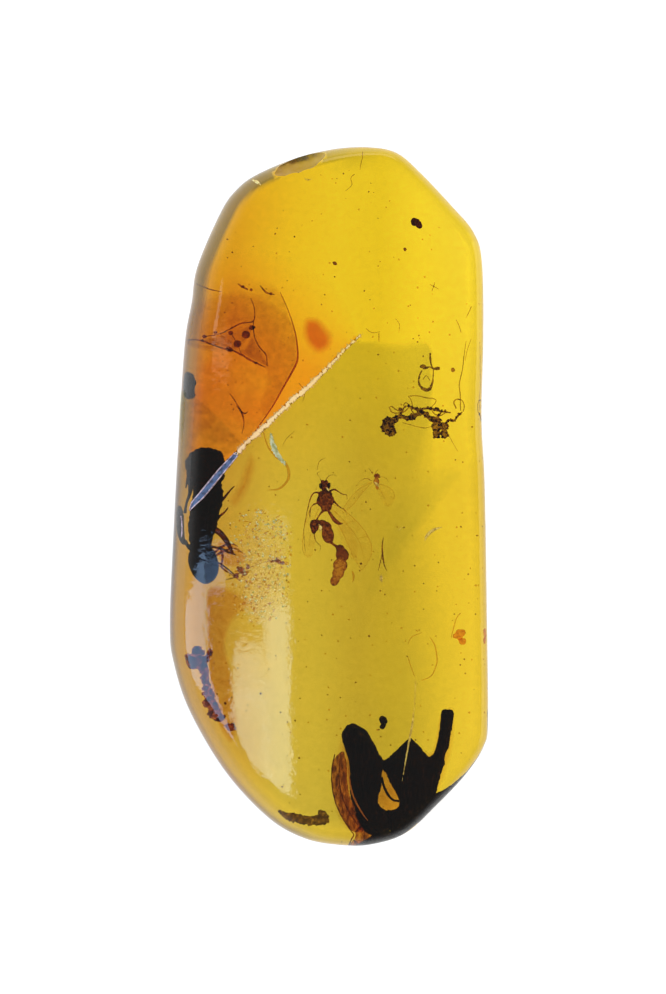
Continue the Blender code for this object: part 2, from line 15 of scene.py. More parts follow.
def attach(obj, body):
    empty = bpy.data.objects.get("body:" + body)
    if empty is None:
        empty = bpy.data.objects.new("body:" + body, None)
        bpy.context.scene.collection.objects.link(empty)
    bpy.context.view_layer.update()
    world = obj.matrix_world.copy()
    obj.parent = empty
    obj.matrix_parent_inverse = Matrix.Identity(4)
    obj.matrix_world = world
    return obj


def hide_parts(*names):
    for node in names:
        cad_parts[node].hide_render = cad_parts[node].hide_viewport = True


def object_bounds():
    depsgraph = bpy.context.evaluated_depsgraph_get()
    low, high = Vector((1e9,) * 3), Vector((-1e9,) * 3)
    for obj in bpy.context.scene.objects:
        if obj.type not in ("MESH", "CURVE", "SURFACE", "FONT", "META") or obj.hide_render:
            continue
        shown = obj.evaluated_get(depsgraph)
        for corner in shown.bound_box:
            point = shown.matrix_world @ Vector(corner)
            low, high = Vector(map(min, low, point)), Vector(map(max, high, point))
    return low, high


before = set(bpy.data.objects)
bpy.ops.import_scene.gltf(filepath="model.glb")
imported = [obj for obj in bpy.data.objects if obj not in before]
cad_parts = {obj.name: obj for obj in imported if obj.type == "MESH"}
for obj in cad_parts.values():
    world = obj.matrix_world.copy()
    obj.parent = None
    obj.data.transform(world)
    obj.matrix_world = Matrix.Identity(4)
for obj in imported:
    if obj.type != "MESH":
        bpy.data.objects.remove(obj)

cad_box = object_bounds()

# --- The room ---
# White paper lit from below, as on a light table, under a dim ceiling. The window at the left is
# what the dome mirrors as pale panes; white boards at the far sides light what lies inside.

MM = 0.001
IMAGE_HEIGHT = 994
MM_PER_PIXEL = 28.0 / 696
CAMERA_OVER = (0.18, -0.04, 450.0)  # right over the middle of the picture
SILHOUETTE_HEIGHT = 4.0  # the level at which the stone is widest
PAPER_SIZE = 3000.0
PAPER_GAP = 0.1  # below the stone's back
PAPER_GLOW = 0.92
ROOM_STOPS = ((0.0, "#ffffff"), (0.22, "#e0e0e0"), (0.55, "#9a9a9a"), (0.80, "#7f7f7f"), (1.0, "#7c7c7c"))


def mm(*values):
    """A point or a size in metres, from millimetres."""
    return Vector(values) * MM


def linear(colour):
    """A #rrggbb colour as the linear values that a socket takes."""
    shares = [int(colour[i:i + 2], 16) / 255 for i in (1, 3, 5)]
    return (*((s / 12.92 if s <= 0.04045 else ((s + 0.055) / 1.055) ** 2.4) for s in shares), 1.0)


def add(tree, kind, settings=None, links=None):
    """Adds a node: settings are its own values, its inputs' values or its ramp's stops."""
    node = tree.nodes.new(kind)
    for name, value in (settings or {}).items():
        if name == "stops":
            (first, colour), *middle, (last, last_colour) = value
            node.color_ramp.elements[0].position, node.color_ramp.elements[1].position = first, last
            node.color_ramp.elements[0].color = linear(colour)
            node.color_ramp.elements[1].color = linear(last_colour)
            for place, colour in middle:
                node.color_ramp.elements.new(place).color = linear(colour)
        elif isinstance(name, str) and hasattr(node, name):
            setattr(node, name, value)
        else:
            node.inputs[name].default_value = value
    for name, source in (links or {}).items():
        tree.links.new(source, node.inputs[name])
    return node


def new_material(name, values):
    """A Principled material with plain values on its sockets; gives its tree and shader too."""
    material = bpy.data.materials.new(name)
    material.use_nodes = True
    shader = material.node_tree.nodes["Principled BSDF"]
    for socket, value in values.items():
        shader.inputs[socket].default_value = value
    return material, material.node_tree, shader


view = bpy.data.cameras.new("camera")
view.sensor_fit = "VERTICAL"
view.sensor_height = 36.0
view.lens = 36.0 * (CAMERA_OVER[2] - SILHOUETTE_HEIGHT) / (IMAGE_HEIGHT * MM_PER_PIXEL)
view.clip_start = 0.01
camera = bpy.data.objects.new("camera", view)
camera.location = mm(*CAMERA_OVER)
bpy.context.scene.collection.objects.link(camera)
bpy.context.scene.camera = camera
bpy.context.scene.view_settings.view_transform = "Standard"
bpy.context.scene.cycles.transparent_max_bounces = 24
bpy.context.scene.cycles.transmission_bounces = 20
bpy.context.scene.cycles.max_bounces = 24

room = bpy.data.worlds.new("room")
room.use_nodes = True
bpy.context.scene.world = room
tree = room.node_tree
direction = add(tree, "ShaderNodeTexCoord")
height = add(tree, "ShaderNodeSeparateXYZ", {}, {0: direction.outputs["Generated"]})
fade = add(tree, "ShaderNodeValToRGB", {"stops": ROOM_STOPS}, {0: height.outputs["Z"]})
tree.links.new(fade.outputs["Color"], tree.nodes["Background"].inputs["Color"])

white_paper, tree, shader = new_material("white paper", {
    "Base Color": linear("#c8c8c6"), "Roughness": 0.9, "Emission Color": linear("#ffffff"),
    "Emission Strength": PAPER_GLOW, "Specular IOR Level": 0.0})
bpy.ops.mesh.primitive_plane_add(size=PAPER_SIZE * MM, location=mm(0, 0, -PAPER_GAP))
paper = bpy.context.object
paper.name = "paper"
paper.data.materials.append(white_paper)


def window(name, tilt, turn, distance, size, colour, strength):
    """A lit rectangle that faces the stone: tilt from overhead to the left, turn towards +Y."""
    light = bpy.data.lights.new(name, "AREA")
    light.shape = "RECTANGLE"
    light.size, light.size_y = (value * MM for value in size)
    light.color = linear(colour)[:3]
    # a rectangle's radiance is its power over its area and pi
    light.energy = strength * math.pi * light.size * light.size_y
    made = bpy.data.objects.new(name, light)
    across, along = math.radians(tilt), math.radians(turn)
    away = Vector((-math.tan(across), math.tan(along) / math.cos(across), 1.0)).normalized()
    made.location = away * distance * MM + mm(0, 0, SILHOUETTE_HEIGHT)
    side = Vector((0.0, 1.0, 0.0)).cross(away).normalized()
    made.rotation_euler = Matrix((side, away.cross(side), away)).transposed().to_euler()
    made.visible_camera = False
    bpy.context.scene.collection.objects.link(made)


window("upper sash", 21.2, -3.55, 320.0, (43.0, 24.0), "#e1fcff", 1.6)
window("lower left pane", 25.3, -9.8, 320.0, (31.0, 17.0), "#e1fcff", 3.6)
window("lower right pane", 19.65, -11.7, 320.0, (28.0, 62.0), "#e1fcff", 3.8)
window("sill pane", 25.4, -14.1, 320.0, (37.0, 34.0), "#e1fcff", 3.8)
window("side pane", 58.5, -10.7, 320.0, (300.0, 86.0), "#a6ceff", 4.4)
window("blue pane", 31.4, -4.1, 320.0, (18.0, 12.0), "#98c4ff", 2.6)
window("narrow pane", 37.0, 10.4, 320.0, (34.0, 18.0), "#ffe8d8", 2.0)
window("low pane", 32.5, 7.8, 320.0, (36.0, 12.0), "#ffd8a8", 1.6)
window("right board", -68.0, 0.0, 400.0, (260.0, 420.0), "#ffeec8", 1.5)
window("far board", 0.0, 62.0, 400.0, (300.0, 160.0), "#ffeed0", 2.0)

# --- The amber ---
# One clear oblong of fossil resin, sawn, ground and hand polished: a flat back, a low domed
# front, and a rim that rolls over widely on the left side and tightly elsewhere.

# The rim seen from the front, as shares of half the width and half the length, clockwise
# from the top. The right side is straight between two cut corners, and the left side leans.
RIM = (
    (0.02, 0.994), (0.24, 1.000), (0.424, 0.984), (0.574, 0.927), (0.78, 0.827),
    (0.91, 0.755), (0.962, 0.670), (0.970, 0.460), (0.958, 0.225), (0.978, 0.030),
    (0.992, -0.340), (0.999, -0.640), (0.974, -0.715), (0.866, -0.793), (0.685, -0.882),
    (0.483, -0.966), (0.260, -0.999), (0.060, -1.000), (-0.158, -0.981), (-0.383, -0.922),
    (-0.650, -0.791), (-0.872, -0.620), (-0.973, -0.484), (-1.000, -0.370), (-0.976, -0.100),
    (-0.943, 0.180), (-0.905, 0.440), (-0.862, 0.557), (-0.826, 0.660), (-0.680, 0.815),
    (-0.584, 0.878), (-0.460, 0.921), (-0.220, 0.967),
)
STONE_LOW, STONE_HIGH = (corner / MM for corner in cad_box)
STONE_WIDTH, STONE_LENGTH, STONE_THICKNESS = STONE_HIGH - STONE_LOW
FRONT_ROLL_LEFT, FRONT_ROLL_RIGHT = 1.15, 0.38
BACK_ROLL_LEFT, BACK_ROLL_RIGHT = 1.25, 0.80
ROLL_DEPTH = 1.5  # times its width
ROLL_STEPS = 12
CREST_X = 2.0
DOME_RADIUS_LEFT, DOME_RADIUS_RIGHT, DOME_RADIUS_ALONG = 24.0, 60.0, 100.0
RIM_SPACING = 0.22
DOME_RINGS = 26
POLISH_WAVES, POLISH_WAVE_SIZE = 0.003, 2.6  # how far from true the polisher's hand left it
# The painted shade on the rolled rim: how strong it is at some distances in from the edge, for levels of y
RIM_SHADE_REACH = (0.0, 0.14, 0.30, 0.50, 0.60, 0.80)
RIM_SHADE_LEVELS = (-2.0, 1.0, 6.0, 8.5)
RIM_SHADE = ((1, 1, 0.5, 0.45, 0.3, 0), (1, 1, 0.85, 0.7, 0.45, 0), (1, 1, 0.85, 0.7, 0.45, 0), (1, 1, 1, 1, 0.1, 0))
# The crack, as x, y and half the width of its groove; it is widest at the left edge
CRACK = (
    (1.36, 6.52, 0.015), (1.20, 6.36, 0.050), (0.80, 5.98, 0.055), (0.45, 5.65, 0.060), (0.00, 5.16, 0.080),
    (-0.45, 4.72, 0.085), (-0.95, 4.24, 0.100), (-1.45, 3.83, 0.110), (-2.00, 3.30, 0.085),
    (-2.60, 2.73, 0.120), (-3.20, 2.20, 0.090), (-3.70, 1.66, 0.105), (-4.25, 1.05, 0.150),
    (-4.70, 0.50, 0.155), (-5.10, 0.02, 0.150), (-5.40, -0.30, 0.110), (-5.56, -0.56, 0.020),
)
GROOVE_DEPTH = 0.14
CHIP_CENTRE, CHIP_SIZE, CHIP_TURN = (-1.22, 13.60, 6.20), (3.1, 1.25, 2.2), (0.0, 0.0, 22.0)
CHIP_RIPPLE = 0.10
CRAZE_CENTRE, CRAZE_SIZE = (-2.75, -2.75, 6.2), (1.25, 2.5, 1.6)
POLISH_GRAIN = 0.0032  # the depth of the fine ripple that the polishing left
AMBER_IOR = 1.54
AMBER_ABSORPTION = (0.9985, 0.9925, 0.930)
AMBER_DENSITY = 6000.0  # per metre


def smooth_path(corners, spacing, closed=False):
    """Points spacing apart on the smooth curve through the corners, which have any number of values."""
    corners = np.array(corners, float)
    count = len(corners)
    picks = range(count if closed else count - 1)
    fine = []
    for i in picks:
        before, start, end, after = (
            corners[(i + k) % count if closed else min(max(i + k, 0), count - 1)] for k in (-1, 0, 1, 2))
        for t in np.arange(0, 1, 1 / 24):
            fine.append(start + (end - before) * 0.5 * t + (before - 2.5 * start + 2 * end - 0.5 * after) * t**2
                        + (1.5 * (start - end) + 0.5 * (after - before)) * t**3)
    fine.append(corners[0] if closed else corners[-1])
    fine = np.array(fine)
    walked = np.concatenate(([0], np.cumsum(np.linalg.norm(np.diff(fine[:, :2], axis=0), axis=1))))
    steps = max(3 if closed else 1, round(walked[-1] / spacing))
    marks = np.linspace(0, walked[-1], steps + 1)[:steps if closed else steps + 1]
    return np.stack([np.interp(marks, walked, fine[:, k]) for k in range(fine.shape[1])], axis=1)


def front_height(x, y):
    """The height of the domed front face over a point of the plan."""
    radius = DOME_RADIUS_LEFT if x < CREST_X else DOME_RADIUS_RIGHT
    return STONE_THICKNESS - (x - CREST_X)**2 / (2 * radius) - y**2 / (2 * DOME_RADIUS_ALONG)


def stone_mesh():
    """The whole stone in millimetres: a flat back, the rolled rim and the domed front."""
    rim = smooth_path([(x * STONE_WIDTH / 2, y * STONE_LENGTH / 2) for x, y in RIM], RIM_SPACING, closed=True)
    along = np.roll(rim, -1, axis=0) - np.roll(rim, 1, axis=0)
    inward = np.stack([along[:, 1], -along[:, 0]], axis=1)
    inward /= np.linalg.norm(inward, axis=1)[:, None]
    leftness = np.maximum(0, inward[:, :1] + 0.15) / 1.15
    back = BACK_ROLL_RIGHT + (BACK_ROLL_LEFT - BACK_ROLL_RIGHT) * leftness
    front = FRONT_ROLL_RIGHT + (FRONT_ROLL_LEFT - FRONT_ROLL_RIGHT) * leftness
    angles = np.linspace(0, math.pi / 2, ROLL_STEPS)
    rings = []
    back_edge = rim + inward * back
    for share in (0.25, 0.5, 0.75):
        rings.append([(x, y, 0.0) for x, y in back_edge * share])
    for angle in reversed(angles):
        plan = rim + inward * back * (1 - math.cos(angle))
        rings.append([(x, y, z) for (x, y), z in zip(plan, ROLL_DEPTH * back[:, 0] * (1 - math.sin(angle)))])
    front_edge = rim + inward * front
    for angle in angles:
        plan = rim + inward * front * (1 - math.cos(angle))
        rings.append([(x, y, front_height(x, y) - (ROLL_DEPTH * f - front_height(*e) + front_height(*r))
                       * (1 - math.sin(angle))) for (x, y), e, r, f in zip(plan, front_edge, rim, front[:, 0])])
    for share in np.linspace(1, 0, DOME_RINGS + 1)[1:-1]:
        rings.append([(x, y, front_height(x, y)) for x, y in front_edge * share])
    shape = bmesh.new()
    stained = shape.verts.layers.float.new("stained")
    loops = [[shape.verts.new(co) for co in ring] for ring in rings]
    # each point of the rolled rim keeps how strongly painted shade darkens it, more on the left
    for ring in loops[3:3 + 2 * ROLL_STEPS]:
        for vertex, edge, (x, y) in zip(ring, leftness[:, 0], rim):
            strengths = [np.interp(y, RIM_SHADE_LEVELS, column) for column in zip(*RIM_SHADE)]
            share = float(np.interp(math.dist(vertex.co.xy, (x, y)), RIM_SHADE_REACH, strengths))
            vertex[stained] = share * (0.25 + 0.75 * min(1.0, 2 * edge))
    count = len(rim)
    for lower, upper in zip(loops, loops[1:]):
        for i in range(count):
            j = (i + 1) % count
            shape.faces.new((lower[j], lower[i], upper[i], upper[j]))
    for ring, z, order in ((loops[0], 0.0, 1), (loops[-1], front_height(0, 0), -1)):
        middle = shape.verts.new((0, 0, z))
        for i in range(count):
            pair = (ring[i], ring[(i + 1) % count])[::order]
            shape.faces.new((*pair, middle))
    for vertex in shape.verts:
        wave = noise.noise(vertex.co / POLISH_WAVE_SIZE)
        vertex.co.z += POLISH_WAVES * (wave - 1) * min(1, vertex.co.z)
    bmesh.ops.recalc_face_normals(shape, faces=shape.faces)
    low, high = (Vector(f(v.co[k] for v in shape.verts) for k in range(3)) for f in (min, max))
    for vertex in shape.verts:
        for k in range(3):
            share = (vertex.co[k] - low[k]) / (high[k] - low[k])
            vertex.co[k] = STONE_LOW[k] + share * (STONE_HIGH[k] - STONE_LOW[k])
    mesh = bpy.data.meshes.new("stone")
    shape.to_mesh(mesh)
    shape.free()
    return mesh


def lumpy(points, height, size):
    """How far noise pushes each point: up to height, in lumps of a size."""
    return np.array([noise.noise(Vector((x, y, 7.7)) / size) * height for x, y in points])


def pillow(outline, height, depth, edge, spacing=0.08, lumps=0.0, lump_size=0.3, ragged=0.0):
    """A closed body over an outline, at a height or at a function's, and as deep as depth away
    from its edge, where it rounds off. Its points keep how far the outline's fades let a tint in."""
    loop = smooth_path([(*p, 0.0)[:3] for p in outline], spacing, closed=True)
    fades, loop = loop[:, 2], loop[:, :2]
    if ragged:
        along = np.roll(loop, -1, axis=0) - np.roll(loop, 1, axis=0)
        out = np.stack([along[:, 1], -along[:, 0]], axis=1) / np.linalg.norm(along, axis=1)[:, None]
        loop = loop + out * lumpy(loop, ragged, lump_size * 0.6)[:, None]
    low, high = loop.min(axis=0), loop.max(axis=0)
    rows = np.arange(low[1], high[1], spacing * 0.87)
    grid = np.array([(x + (k % 2) * spacing / 2, y) for k, y in enumerate(rows)
                     for x in np.arange(low[0], high[0], spacing)])
    after = np.roll(loop, -1, axis=0)
    crossings = (loop[:, 1] > grid[:, 1:2]) != (after[:, 1] > grid[:, 1:2])
    slope = (after[:, 0] - loop[:, 0]) / np.where(after[:, 1] == loop[:, 1], 1e-9, after[:, 1] - loop[:, 1])
    odd = (crossings & (grid[:, :1] < slope * (grid[:, 1:2] - loop[:, 1]) + loop[:, 0])).sum(axis=1) % 2
    away = np.linalg.norm(grid[:, None] - loop[None], axis=2)
    keep = (odd == 1) & (away.min(axis=1) > spacing * 0.55)
    grid, away = grid[keep], away[keep]
    count = len(loop)
    points, _, faces, *_ = geometry.delaunay_2d_cdt(
        [Vector(p) for p in (*loop, *grid)], [(i, (i + 1) % count) for i in range(count)], [], 1, 1e-6)
    reach = np.concatenate([np.zeros(count), away.min(axis=1)]) if len(grid) else np.zeros(count)
    tint = np.concatenate([fades <= 0.021, np.clip((away / np.maximum(fades, 0.01)).min(axis=1), 0, 1)])
    # where the outline crosses itself the triangulation adds points, which lie on the edge too
    reach, tint = (np.concatenate([values, [0.0] * (len(points) - len(values))]) for values in (reach, tint))
    on_edge = reach == 0
    share = np.clip(reach / edge, 0, 1)
    half = depth / 2 * np.sqrt(1 - (1 - share)**2)
    bumps = lumpy([p[:2] for p in points], lumps, lump_size) * share
    level = [height(p.x, p.y) if callable(height) else height for p in points]
    shape = bmesh.new()
    layer = shape.verts.layers.float.new("tint")
    tops, bottoms = [], []
    for i, p in enumerate(points):
        top = shape.verts.new((p.x, p.y, level[i] + half[i] + bumps[i]))
        bottom = top if on_edge[i] else shape.verts.new((p.x, p.y, level[i] - half[i] - bumps[i]))
        top[layer] = bottom[layer] = tint[i]
        tops.append(top)
        bottoms.append(bottom)
    for face in faces:
        shape.faces.new([tops[i] for i in face])
        if not all(on_edge[i] for i in face):
            shape.faces.new([bottoms[i] for i in reversed(face)])
    bmesh.ops.recalc_face_normals(shape, faces=shape.faces)
    return as_mesh(shape)


def as_mesh(shape):
    mesh = bpy.data.meshes.new("piece")
    shape.to_mesh(mesh)
    shape.free()
    return mesh


def ribbon_outline(path):
    """The outline of a ribbon of the path's half widths."""
    path = np.array(path)
    along = np.gradient(path[:, :2], axis=0)
    side = np.stack([-along[:, 1], along[:, 0]], axis=1) / np.linalg.norm(along, axis=1)[:, None]
    left, right = path[:, :2] + side * path[:, 2:], path[:, :2] - side * path[:, 2:]
    return [*map(tuple, left), *map(tuple, right[::-1])]


def place(name, mesh):
    """An object of a mesh, in the scene."""
    made = bpy.data.objects.new(name, mesh)
    bpy.context.scene.collection.objects.link(made)
    return made


def evaluated(thing):
    """The plain mesh of an object with its modifiers, which goes."""
    bpy.context.view_layer.update()
    graph = bpy.context.evaluated_depsgraph_get()
    mesh = bpy.data.meshes.new_from_object(thing.evaluated_get(graph))
    bpy.data.objects.remove(thing)
    return mesh


def settle(name, mesh, materials, stands_for=(), sharp=None):
    """A finished piece of a mesh in millimetres: in metres, in its place, and fixed in the stone."""
    mesh.transform(Matrix.Scale(MM, 4))
    if len(mesh.materials) < 2:
        mesh.materials.clear()
        for material in materials:
            mesh.materials.append(material)
    mesh.shade_smooth()
    if sharp:
        mesh.set_sharp_from_angle(angle=math.radians(sharp))
    piece = place(name, mesh)
    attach(piece, "root")
    if stands_for:
        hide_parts(*stands_for)
    return piece


def new_amber(name, roughness, clear=1.0, haze="#ffffff"):
    """Clear amber: it takes out blue first and then green, so thick parts look orange. The resin is
    redder and browner towards the left edge, and the rolled rim is darkened by a painted shade."""
    material, tree, shader = new_material(name, {
        "Transmission Weight": clear, "IOR": AMBER_IOR, "Roughness": roughness})
    where = add(tree, "ShaderNodeTexCoord").outputs["Object"]
    cloud = add(tree, "ShaderNodeTexNoise", {"Scale": 1 / (5.0 * MM), "Detail": 2.0}, {"Vector": where})
    stir = add(tree, "ShaderNodeVectorMath", {"operation": "SCALE", "Scale": 1.6 * MM}, {0: cloud.outputs["Color"]})
    stirred = add(tree, "ShaderNodeVectorMath", {"operation": "ADD"}, {0: where, 1: stir.outputs[0]})
    place_in = add(tree, "ShaderNodeSeparateXYZ", {}, {0: stirred.outputs[0]})
    across = add(tree, "ShaderNodeMapRange", {"From Min": -6.4 * MM, "From Max": 6.4 * MM}, {0: place_in.outputs["X"]})
    upper = add(tree, "ShaderNodeValToRGB", {"stops": (
        (0.0, "#b08a60"), (0.10, "#c89858"), (0.22, "#d5ab44"), (0.285, "#d8ac40"), (0.347, "#e0bd46"),
        (0.473, "#e7d259"), (0.60, "#e9dc6c"), (0.725, "#e6da62"), (0.85, "#f3ea87"), (1.0, "#f0e9a8"))},
        {0: across.outputs[0]})
    lower = add(tree, "ShaderNodeValToRGB", {"stops": (
        (0.0, "#c09a80"), (0.10, "#c49c86"), (0.16, "#c8a290"), (0.30, "#e0c4a8"), (0.41, "#eddfc2"),
        (0.536, "#e6dbb9"), (0.66, "#d8ca9a"), (0.75, "#dccf8f"), (0.90, "#e8dc9c"), (1.0, "#e8dca8"))},
        {0: across.outputs[0]})
    along = add(tree, "ShaderNodeMapRange", {"From Min": 1.0 * MM, "From Max": 7.0 * MM}, {0: place_in.outputs["Y"]})
    tint = add(tree, "ShaderNodeMix", {"data_type": "RGBA"}, {
        0: along.outputs[0], 6: lower.outputs["Color"], 7: upper.outputs["Color"]})
    # painted shade on the rolled rim: near black where the beetle lies behind it, grey-blue at the top left
    darkened = add(tree, "ShaderNodeAttribute", {"attribute_name": "stained"})
    level = add(tree, "ShaderNodeMapRange", {1: -14.0 * MM, 2: 14.0 * MM}, {0: place_in.outputs["Y"]})
    shade_hues = add(tree, "ShaderNodeValToRGB", {"stops": (
        (0.036, "#645a31"), (0.125, "#67481e"), (0.179, "#715d3d"), (0.286, "#585a27"), (0.357, "#403115"),
        (0.407, "#30271e"), (0.464, "#0e0a12"), (0.55, "#29211a"), (0.607, "#595743"), (0.668, "#332920"),
        (0.725, "#534e3d"), (0.786, "#4c422c"), (0.839, "#535d59"), (0.893, "#5f6c77"), (0.946, "#636c82"))},
        {0: level.outputs[0]})
    edge = add(tree, "ShaderNodeMix", {"data_type": "RGBA", "blend_type": "MULTIPLY"}, {
        0: darkened.outputs["Fac"], 6: tint.outputs[2], 7: shade_hues.outputs["Color"]})
    # the skin by the beetle has dried out and crazed: rough there, with brown hairline cracks
    craze = add(tree, "ShaderNodeMapping", {
        "vector_type": "TEXTURE", "Location": mm(*CRAZE_CENTRE), "Scale": mm(*CRAZE_SIZE)}, {0: where})
    outward = add(tree, "ShaderNodeVectorMath", {"operation": "LENGTH"}, {0: craze.outputs[0]})
    patch = add(tree, "ShaderNodeMapRange", {1: 1.0, 2: 0.55}, {0: outward.outputs["Value"]})
    pits = add(tree, "ShaderNodeTexNoise", {"Scale": 1 / (0.12 * MM), "Detail": 3.0}, {"Vector": where})
    pitted = add(tree, "ShaderNodeMath", {"operation": "MULTIPLY"}, {0: patch.outputs[0], 1: pits.outputs[0]})
    waves = add(tree, "ShaderNodeTexNoise", {"Scale": 1 / (0.24 * MM), "Detail": 3.0}, {"Vector": where})
    skin = add(tree, "ShaderNodeMath", {"operation": "MULTIPLY_ADD", 1: 2.6}, {0: pitted.outputs[0], 2: waves.outputs[0]})
    relief = add(tree, "ShaderNodeBump", {"Strength": 1.0, "Distance": POLISH_GRAIN * MM}, {"Height": skin.outputs[0]})
    tree.links.new(relief.outputs[0], shader.inputs["Normal"])
    wander = add(tree, "ShaderNodeTexNoise", {"Scale": 1 / (0.34 * MM), "Detail": 4.0, "Roughness": 0.7}, {"Vector": where})
    hairline = add(tree, "ShaderNodeMath", {"operation": "COMPARE", 1: 0.5, 2: 0.012}, {0: wander.outputs[0]})
    cracked = add(tree, "ShaderNodeMath", {"operation": "MULTIPLY"}, {0: hairline.outputs[0], 1: patch.outputs[0]})
    crazed = add(tree, "ShaderNodeMix", {"data_type": "RGBA", "blend_type": "MULTIPLY", 7: linear("#b8905c")}, {
        0: cracked.outputs[0], 6: edge.outputs[2]})
    grain = add(tree, "ShaderNodeTexNoise", {"Scale": 1 / (0.26 * MM), "Detail": 5.0, "Roughness": 0.7}, {"Vector": where})
    faint = add(tree, "ShaderNodeMapRange", {1: 0.32, 2: 0.68, 3: 1.02, 4: 1.12}, {0: grain.outputs[0]})
    grained = add(tree, "ShaderNodeMix", {"data_type": "RGBA", "blend_type": "MULTIPLY", 0: 1.0}, {
        6: crazed.outputs[2], 7: faint.outputs[0]})
    dulled = add(tree, "ShaderNodeMix", {"data_type": "RGBA", "blend_type": "MULTIPLY", 0: 1.0, 7: linear(haze)}, {
        6: grained.outputs[2]})
    tree.links.new(dulled.outputs[2], shader.inputs["Base Color"])
    absorb = add(tree, "ShaderNodeVolumeAbsorption", {"Color": (*AMBER_ABSORPTION, 1.0), "Density": AMBER_DENSITY})
    tree.links.new(absorb.outputs[0], tree.nodes["Material Output"].inputs["Volume"])
    return material, tree, shader


def cut_away(mesh, tools, material):
    """A mesh less its tools' bodies, with the cut faces in another material."""
    thing = place("cut", mesh)
    cutters = []
    for tool in tools:
        tool.materials.append(material)
        cutters.append(place("tool", tool))
        cut = thing.modifiers.new("cut", "BOOLEAN")
        cut.operation, cut.solver, cut.material_mode = "DIFFERENCE", "EXACT", "TRANSFER"
        cut.object = cutters[-1]
    mesh = evaluated(thing)
    for cutter in cutters:
        bpy.data.objects.remove(cutter)
    return mesh


def chip_tool():
    """The shell-shaped scoop that was knocked off the rim, with the ripples that such a break leaves."""
    shape = bmesh.new()
    bmesh.ops.create_icosphere(shape, subdivisions=5, radius=0.5)
    turn = Matrix.LocRotScale(CHIP_CENTRE, Euler([math.radians(angle) for angle in CHIP_TURN]), None)
    for vertex in shape.verts:
        spot = Vector(a * b for a, b in zip(vertex.co, CHIP_SIZE))
        ripple = noise.noise(spot * 1.6) + 0.5 * noise.noise(spot * 4.5) + 0.25 * math.sin(9 * spot.length)
        vertex.co = turn @ (spot + vertex.co.normalized() * CHIP_RIPPLE * ripple)
    return as_mesh(shape)


clear_amber, tree, shader = new_amber("polished amber", 0.0)
frosted_amber, tree, shader = new_amber("splintered amber", 0.45, 0.7, "#c8b8a8")
stone = stone_mesh()
stone.materials.append(clear_amber)
groove = pillow(ribbon_outline(CRACK), lambda x, y: front_height(x, y), 2 * GROOVE_DEPTH, 0.12, 0.05)
amber = settle("amber", cut_away(stone, [groove, chip_tool()], frosted_amber), [clear_amber, frosted_amber],
               ["amber_front", "amber_back"], 35)

# --- The flows of resin and the old fracture ---
# The lump grew from flows of resin that set one on another, each of its own tint. The orange one
# has a leaf-shaped fracture in it, stained brown where air and damp reached the crack.

FLOW_THICKNESS = 0.02
ORANGE_FLOW_DEPTH, OLIVE_FLOW_DEPTH, LEAF_DEPTH, CLOUD_DEPTH, SMEAR_DEPTH = 0.95, 0.75, 0.62, 1.6, 0.42
# x, y and the width that its tint fades over, which is next to nothing where the crack cuts it
ORANGE_FLOW = (
    (-5.35, 6.40, 1.2), (-4.60, 9.40, 3.0), (-2.40, 9.80, 4.0), (0.10, 8.60, 4.0), (1.20, 6.60, 1.6),
    (1.18, 6.34, 0.02), (0.45, 5.62, 0.02), (-0.45, 4.72, 0.02), (-1.45, 3.87, 0.02), (-2.60, 2.77, 0.02),
    (-3.55, 1.77, 0.02), (-4.35, 0.82, 0.02), (-4.90, 0.20, 0.3), (-5.60, 0.60, 0.4), (-5.50, 3.40, 0.3),
)
OLIVE_FLOW = (
    (1.36, 6.20, 0.03), (2.70, 6.16, 0.40), (4.05, 6.08, 0.10), (4.16, 4.80, 0.05), (4.20, 3.20, 0.25),
    (4.36, 0.60, 1.20), (4.70, -2.40, 2.00), (5.30, -6.50, 2.20), (4.60, -10.6, 1.60), (1.60, -13.2, 0.60),
    (-1.60, -12.8, 0.50), (-4.20, -10.2, 0.80), (-5.50, -7.00, 1.00), (-5.60, -2.50, 0.80),
    (-5.20, -0.30, 0.30), (-4.35, 0.76, 0.02), (-3.55, 1.70, 0.02), (-2.60, 2.69, 0.02), (-1.45, 3.80, 0.02),
    (-0.45, 4.65, 0.02), (0.45, 5.55, 0.02), (1.12, 6.16, 0.02),
)
STAINED_LEAF = (
    (-4.90, 8.20, 1.1), (-3.60, 8.90, 1.2), (-2.30, 8.60, 0.5), (-1.86, 8.10, 0.05), (-1.56, 7.36, 0.04),
    (-1.29, 6.47, 0.04), (-1.21, 5.70, 0.04), (-1.25, 5.32, 0.04), (-1.48, 4.86, 0.04), (-1.83, 4.24, 0.04),
    (-2.13, 3.70, 0.04), (-2.50, 3.14, 0.04), (-3.02, 2.42, 0.05), (-3.60, 1.95, 0.30), (-4.60, 1.90, 0.60),
    (-5.30, 2.60, 0.40), (-5.45, 4.20, 0.40), (-5.36, 6.00, 0.40),
)
LEAF_EDGE = (
    (-1.90, 8.14, 0.012), (-1.56, 7.36, 0.018), (-1.29, 6.47, 0.026), (-1.20, 5.70, 0.036),
    (-1.25, 5.32, 0.042), (-1.48, 4.86, 0.040), (-1.83, 4.24, 0.034), (-2.13, 3.70, 0.030),
    (-2.50, 3.14, 0.024), (-3.02, 2.42, 0.018), (-3.30, 2.02, 0.010),
)
WEDGE = (
    (-5.97, 4.18, 0.2), (-5.25, 4.02, 0.05), (-4.85, 3.66, 0.03), (-4.28, 3.10, 0.03),
    (-3.72, 2.49, 0.03), (-3.44, 2.13, 0.03), (-3.72, 1.77, 0.04), (-4.28, 1.37, 0.3),
    (-5.01, 1.05, 0.4), (-5.81, 1.05, 0.3), (-6.05, 2.66, 0.2),
)
